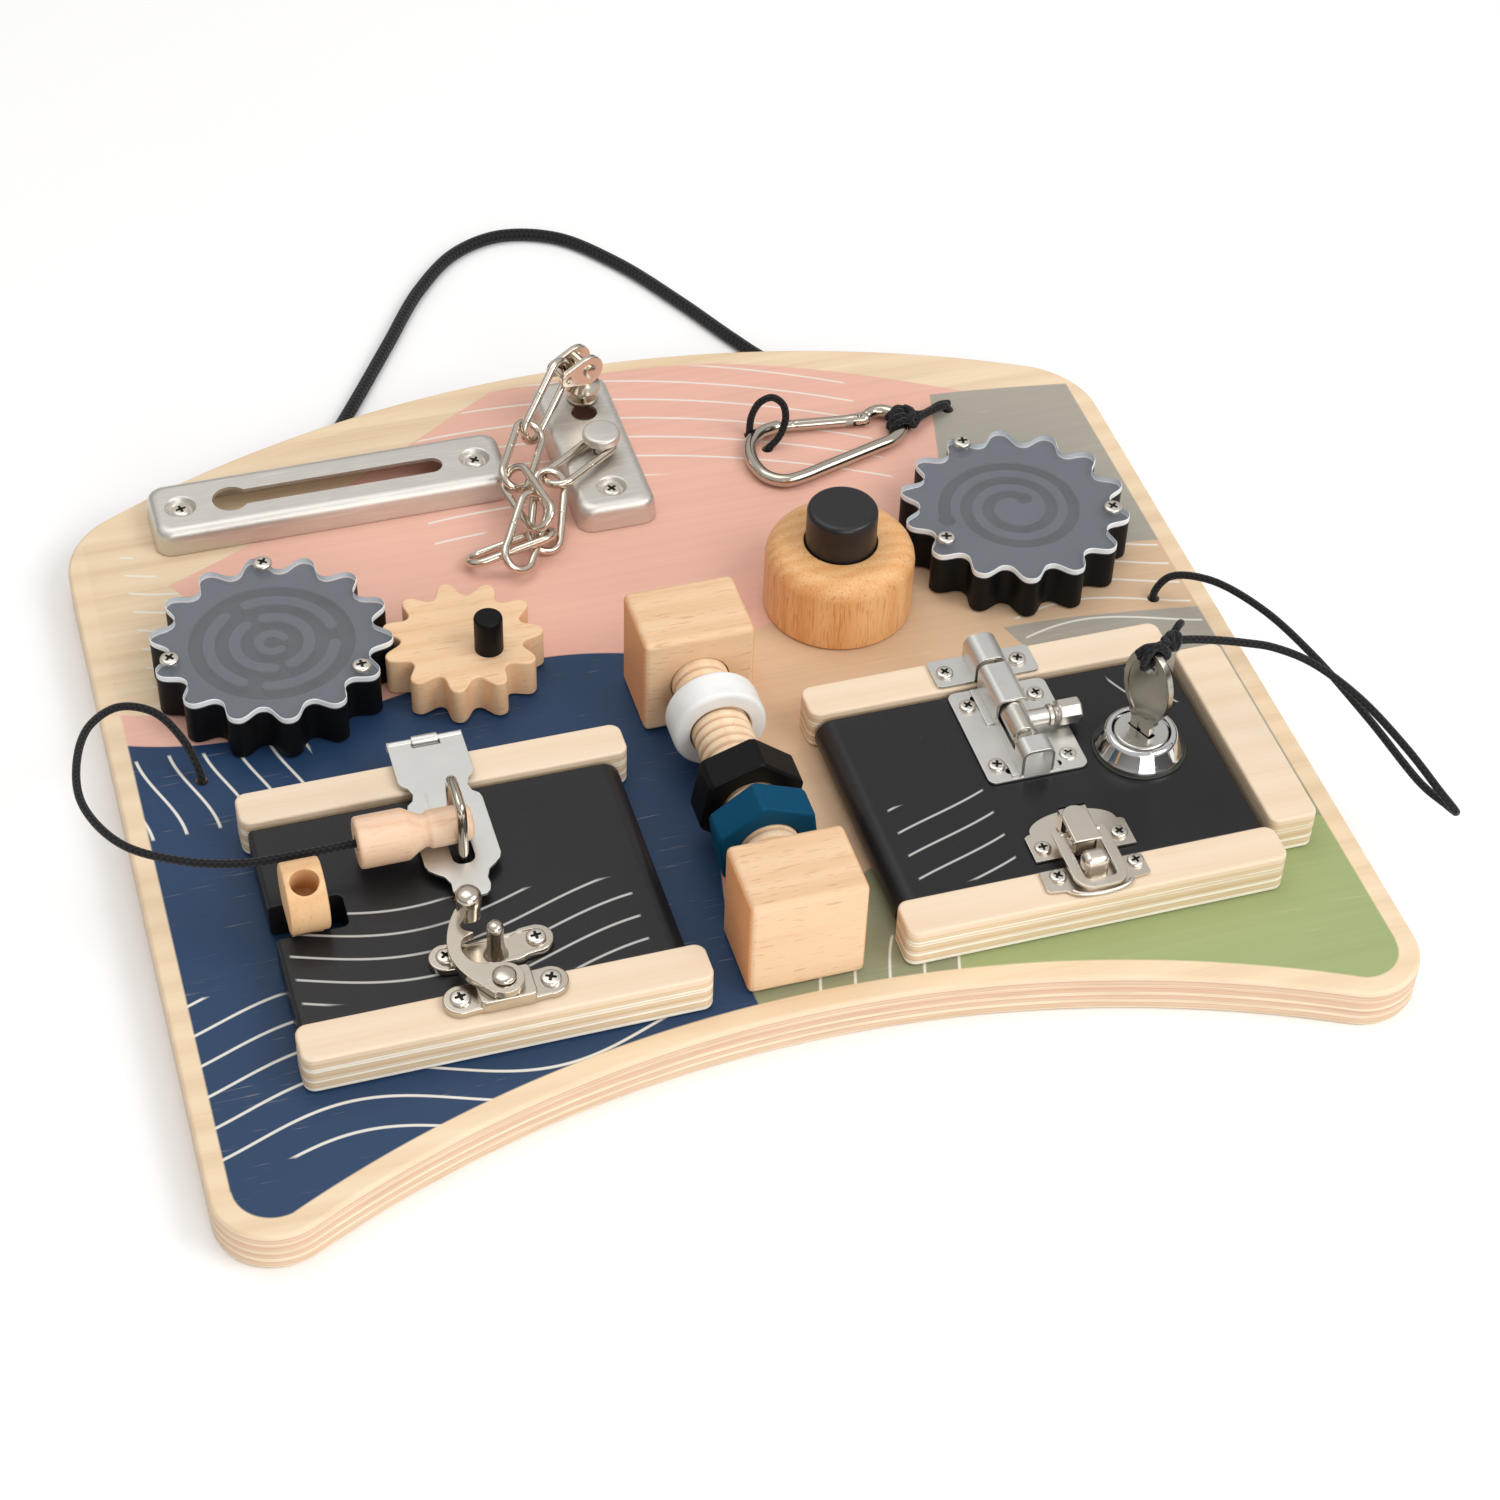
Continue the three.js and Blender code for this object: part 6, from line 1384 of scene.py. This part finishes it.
kp = [(-4.0, 22.4), (-1.2, 20.0), (1.4, 20.2), (3.0, 22.0), (2.2, 23.4), (3.4, 25.0), (2.0, 26.6), (3.2, 28.4), (2.4, 30.0), (4.0, 31.8), (4.0, 37.2), (4.3, 38.0), (5.2, 38.9)]
for i in range(1, 48):
    a_ = rad(-62 + 304 * i / 48)
    kp.append((9.2 * math.cos(a_), 52 + 13.8 * math.sin(a_)))
kp += [(-5.2, 38.9), (-4.3, 38.0), (-4.0, 37.2)]
k_ = prism(kp, -1.1, 1.1, 0.25, 2, MK @ PY)
cut(k_, prism(arc(-0.6, 60.2, 2.9, 0, 352.5, 47), -3, 3, M=MK @ PY))
for sg in (-1, 1):
    ov = [(7.3 * math.cos(rad(t)), 51.2 + 11.6 * math.sin(rad(t))) for t in range(0, 360, 8)]
    rec_ = prism(ov, sg * 0.85 if sg > 0 else -2.0, 2.0 if sg > 0 else sg * 0.85, M=MK @ PY)
    rec_ = cut(rec_, prism(arc(-0.6, 60.2, 4.0, 0, 352, 44), -4, 4, M=MK @ PY))
    cut(k_, rec_)
    cut(k_, box(-1.0, 0.6, (0.75 if sg > 0 else -2.0), (2.0 if sg > 0 else -0.75), 21.5, 37.0, M=MK))
piece(k_, "key_body", "key", m_key, ["key"], sharp=38)

# ---------------------------------------------------------------------------- snap hook
z, P = ON + 2.3, [(96.6, 115.0), (99.6, 116.6), (103.2, 116.2), (106.4, 113.2), (107.0, 108.6), (105.2, 103.8), (100.8, 100.4), (94.0, 98.2), (84.0, 95.2), (74.0, 92.2), (66.0, 89.8), (59.6, 89.2), (54.6, 92.4), (52.2, 98.4), (52.0, 105.0), (54.2, 111.4), (59.2, 115.8), (65.6, 117.3)]
o = tube([(a_, b_, z) for a_, b_ in P], 2.25, 24, 150, rfun=lambda t: 1.0 - 0.14 * max(0, 1 - t / 0.05))
tongue = prism(smooth_loop([(97.6, 113.0), (96.8, 116.9), (93.4, 115.7), (91.7, 114.2), (92.2, 112.3), (93.9, 111.9)], 5), z - 0.8, z + 0.8, 0.2, 2)
parts = [o, tongue]
piece(merge(*parts), "snap_hook_wire", "board", m_bright, ["snap_body"], sharp=50)
piv = (93.6, 113.8)
ga = math.atan2(117.1 - 113.8, 66.4 - 93.6)
al = lambda t: (piv[0] + t * math.cos(ga), piv[1] + t * math.sin(ga), z)
g_ = sweep(resample([Vector(al(-2.4)), Vector(al(26.2))], 40), 2.0, 24, rfun=lambda t: 1.12 if t < 0.16 else (1.12 - (t - 0.16) * 1.4 if t < 0.24 else (1.0 if t < 0.86 else (0.93 if t < 0.89 else 1.0))))
cut(g_, box(88.6, 99, 108, 120, z - 1.1, z + 1.1))
cut(g_, prism([(al(24.4)[0] + 0.35 * math.cos(ga + q), al(24.4)[1] + 0.35 * math.sin(ga + q)) for q in (0.8, 2.3, 3.9, 5.5)], z + 1.2, z + 4))
parts = [g_, lathe([(0, z - 2.6), (0.9, z - 2.5), (1.1, z - 2.1), (0.7, z - 2.0), (0.7, z + 2.0), (1.1, z + 2.1), (0.9, z + 2.5), (0, z + 2.6)], *piv, seg=24)]
piece(merge(*parts), "snap_gate_rod", "snap_gate", m_bright, ["snap_gate"], sharp=50)


# ---------------------------------------------------------------------------- cords
def cord_piece(name, pts, d, n, node, body="board", sides=16, **k):
    c = catmull(pts, n)
    o = sweep(c, d / 2, sides, uv=True)
    piece(o, name, body, m_cord, [node], sharp=70)
    return o, [tuple(p * MM) for p in c], length_of(c) * MM


HANG = [(-80, 152.5, 6.5), (-80, 160, 6.5), (-79, 166, 4.6), (-75.6, 172.8, 2.3), (-66, 188, 2.15), (-50, 214, 2.15), (-32, 243, 2.15), (-14, 262, 2.15), (4.3, 268.3, 2.15), (24, 262, 2.15), (42, 241, 2.15), (58, 212, 2.15), (70, 187, 2.15), (77.6, 172.6, 2.3), (81, 166, 4.6), (82, 160, 6.5), (82, 152, 6.5)]
o, path, L = cord_piece("hanging_cord_braid", HANG, 4.6, 260, "hanging_cord", sides=20)

PEGC = [(-152, 2.75, 12.5), (-152.2, 3.4, 17), (-155, 10, 24.5), (-162, 18, 31), (-172, 19, 35), (-182, 11, 37), (-188, -5, 37.6), (-188.5, -22, 37.4), (-180, -40, 37.2), (-164, -51, 37.1), (-148, -56, 37), (-136, -56.75, 37), (-124, -56.75, 37), (-114.6, -56.75, 37)]
o, path, L = cord_piece("peg_cord_braid", PEGC, 2.5, 200, "peg_cord")

LOOP = [(56.0, 118.4, 12.5), (55.9, 118.5, 17), (56.4, 118.1, 22.8), (58.8, 116.8, 29.0), (62.4, 115.0, 31.6), (65.6, 113.6, 29.4), (66.6, 112.4, 24.8), (65.2, 111.0, 20.2), (63.0, 110.0, 17.2), (61.2, 109.7, 15.6), (60.1, 109.7, 14.4), (59.6, 109.8, 12.5)]
o, path, L = cord_piece("loop_cord_braid", LOOP, 2.5, 90, "loop_cord")

# the key's cord, with its wraps and knot on the bow
EYE = MK @ Vector((-0.6, 0, 60.2))
KEYC = [(158.6, 4.75, 12.5), (158.8, 4.9, 17), (162.5, 3.0, 24), (171, -8, 30), (181, -26, 31), (189, -48, 29), (196, -76, 25.5), (201, -104, 23), (203.6, -114, 24), (203.2, -121, 27.5), (199, -117, 33), (193, -104, 40), (183, -88, 49), (171, -77, 56.5), (160, -71.5, 60.5), (152.2, -69.2, 62.0), (144, -67.6, 63.6), (136, -66.6, 65.0), (130.5, -66.6, 66.0)]
cpts = catmull(KEYC, 260)
o = sweep(cpts, 1.25, 14, uv=True)
piece(o, "key_cord_braid", None, m_cord, ["key_cord"], sharp=70)
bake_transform(o)
key_cord, key_path, key_len = o, [tuple(p * MM) for p in cpts], length_of(cpts) * MM


def on_key(s_, t_, h):
    """point at s along the key, t across it, height h"""
    return MK @ Vector((s_, t_, h))


knot = []
wrap = [on_key(-0.6, -3.2, 60.6), on_key(-0.7, 0.0, 60.0), on_key(-0.4, 3.0, 61.4), on_key(0.2, 3.1, 65.4), on_key(0.4, 0.4, 67.9), on_key(0.2, -2.6, 66.4), on_key(-0.6, -3.4, 62.6)]
knot.append(tube([tuple(p) for p in wrap], 1.25, 12, 60, uv=True))
wrap2 = [on_key(-3.0, -2.4, 63.0), on_key(-1.4, -0.3, 61.4), on_key(0.6, 2.4, 61.8), on_key(2.6, 3.2, 64.6), on_key(1.4, 1.4, 67.6), on_key(-1.4, -1.6, 67.2), on_key(-3.4, -3.0, 64.4)]
knot.append(tube([tuple(p) for p in wrap2], 1.25, 12, 60, uv=True))
kc = Vector((129.6, -66.6, 66.0))
for q, tl in ((0, 0.0), (1, 1.1)):
    ring = [kc + Vector((1.5 * q - 1.0, 0, 0)) + Vector((0.5 * math.sin(t * 2), 2.1 * math.cos(t + tl), 2.1 * math.sin(t + tl))) for t in [2 * math.pi * i / 24 for i in range(24)]]
    knot.append(sweep(ring, 1.2, 12, closed=True, uv=True))
knot.append(tube([tuple(on_key(0.2, 2.0, 67.4)), tuple(on_key(1.0, 4.0, 67.6)), (126.6, -66.4, 66.9), (129.6, -66.6, 66.0), (131.0, -66.6, 66.0)], 1.25, 12, 40, uv=True))
knot.append(tube([(129.0, -65.8, 66.6), (131.8, -63.6, 68.6), (133.6, -61.8, 68.0)], 1.2, 12, 16, uv=True))
kn_ = piece(merge(*knot), "key_knot", "key", m_cord, sharp=70)

# tether of the snap hook: two strands from the board, wraps round the small end
TET = [(126.3, 114.3, 12.5), (126.1, 114.2, 15.0), (124.4, 113.4, 17.0), (120.0, 111.6, 17.4), (116.0, 109.6, 17.7), (113.0, 107.6, 17.9)]


def wrap_at(t, r=3.55):
    """point on the wraps round the small end, t in turns"""
    q = 2 * math.pi * t
    rx, rz = r * math.cos(q), r * math.sin(q)
    return (106.9 - 0.35 * t + rx, 104.6 + 2.65 * t + rx * 0.12, max(z + rz, ON + 1.35))


TET += [wrap_at(0.04 + 0.1 * k) for k in range(25)]
c1 = catmull(TET, 150)
o = sweep(c1, 1.25, 14, uv=True)
piece(o, "tether_cord_braid", "board", m_cord, ["tether_cord"], sharp=70)
tether, tpath, tlen = o, [tuple(p * MM) for p in c1], length_of(c1) * MM
knot = [tube([(126.9, 115.8, 15.6), (123.6, 115.2, 16.2), (119.4, 113.4, 15.9), (116.0, 111.9, 16.2), (113.2, 111.2, 17.2), (111.0, 111.6, 18.4), (108.6, 111.9, 19.9)], 1.2, 12, 50, uv=True)]
knot.append(tube([wrap_at(0.18, 4.3), (110.4, 106.6, 20.7), (110.6, 109.2, 20.8), (109.2, 111.4, 20.6)], 1.2, 12, 30, uv=True))
knot.append(tube([wrap_at(0.55, 3.7), (103.6, 108.2, 19.0), (104.6, 110.6, 20.0), (106.6, 112.2, 20.2), (108.8, 112.2, 19.6)], 1.2, 12, 30, uv=True))
tk = piece(merge(*knot), "tether_wraps", "board", m_cord, ["tether_knot"], sharp=70)

# ---------------------------------------------------------------------------- floor and light
bm = bmesh.new()
S_ = 14.0
vs = [bm.verts.new(p) for p in ((-S_, -S_, 0), (S_, -S_, 0), (S_, S_, 0), (-S_, S_, 0))]
bm.faces.new(vs)
me = bpy.data.meshes.new("floor")
bm.to_mesh(me)
bm.free()
floor = bpy.data.objects.new("floor", me)
SC.collection.objects.link(floor)
fm = Mat("pale_floor", rough=0.9, spec=0.1)
fm.color(fm.mix(fm.noise(fm.mapped(), 3.0, 2), (0.96, 0.96, 0.96), (0.985, 0.985, 0.985)))
floor.data.materials.append(fm.m)
floor.location = (0, 0, -0.0001)


def area(name, loc, target, size, power, color=(1, 1, 1), size_y=None):
    d = bpy.data.lights.new(name, "AREA")
    d.shape = "RECTANGLE"
    d.size, d.size_y, d.energy, d.color = size, size_y or size, power, color
    ob = bpy.data.objects.new(name, d)
    SC.collection.objects.link(ob)
    ob.location = loc
    ob.rotation_mode = "QUATERNION"
    ob.rotation_quaternion = (Vector(target) - Vector(loc)).to_track_quat("-Z", "Y")
    return ob


area("key_light", (1.1, -0.9, 1.5), (0, 0, 0), 1.0, 15)
area("top_light", (-0.3, 0.6, 2.1), (0, 0, 0), 1.5, 11)
area("front_light", (0.1, -2.0, 0.75), (0, 0, 0.0), 1.3, 15)
world = bpy.data.worlds.new("studio")
SC.world = world
world.use_nodes = True
wn = world.node_tree.nodes["Background"]
wt = world.node_tree
tc_ = wt.nodes.new("ShaderNodeTexCoord")
sp_ = wt.nodes.new("ShaderNodeSeparateXYZ")
rp_ = wt.nodes.new("ShaderNodeValToRGB")
wt.links.new(tc_.outputs["Generated"], sp_.inputs[0])
wt.links.new(sp_.outputs[2], rp_.inputs[0])
wt.links.new(rp_.outputs[0], wn.inputs[0])
el_ = rp_.color_ramp.elements
el_[0].position, el_[0].color = 0.0, (0.16, 0.145, 0.13, 1)
el_[1].position, el_[1].color = 1.0, (1.12, 1.12, 1.12, 1)
for p_, c_ in ((0.16, 0.22), (0.34, 0.85), (0.55, 1.12)):
    e_ = el_.new(p_)
    e_.color = (c_, c_ * 0.98, c_ * 0.96, 1)
wn.inputs[1].default_value = 0.57
SC.view_settings.view_transform = "Standard"
SC.view_settings.look = "None"
SC.view_settings.exposure = 0.0

mats_used = {}
for m_ in bpy.data.materials:
    m_.use_fake_user = False
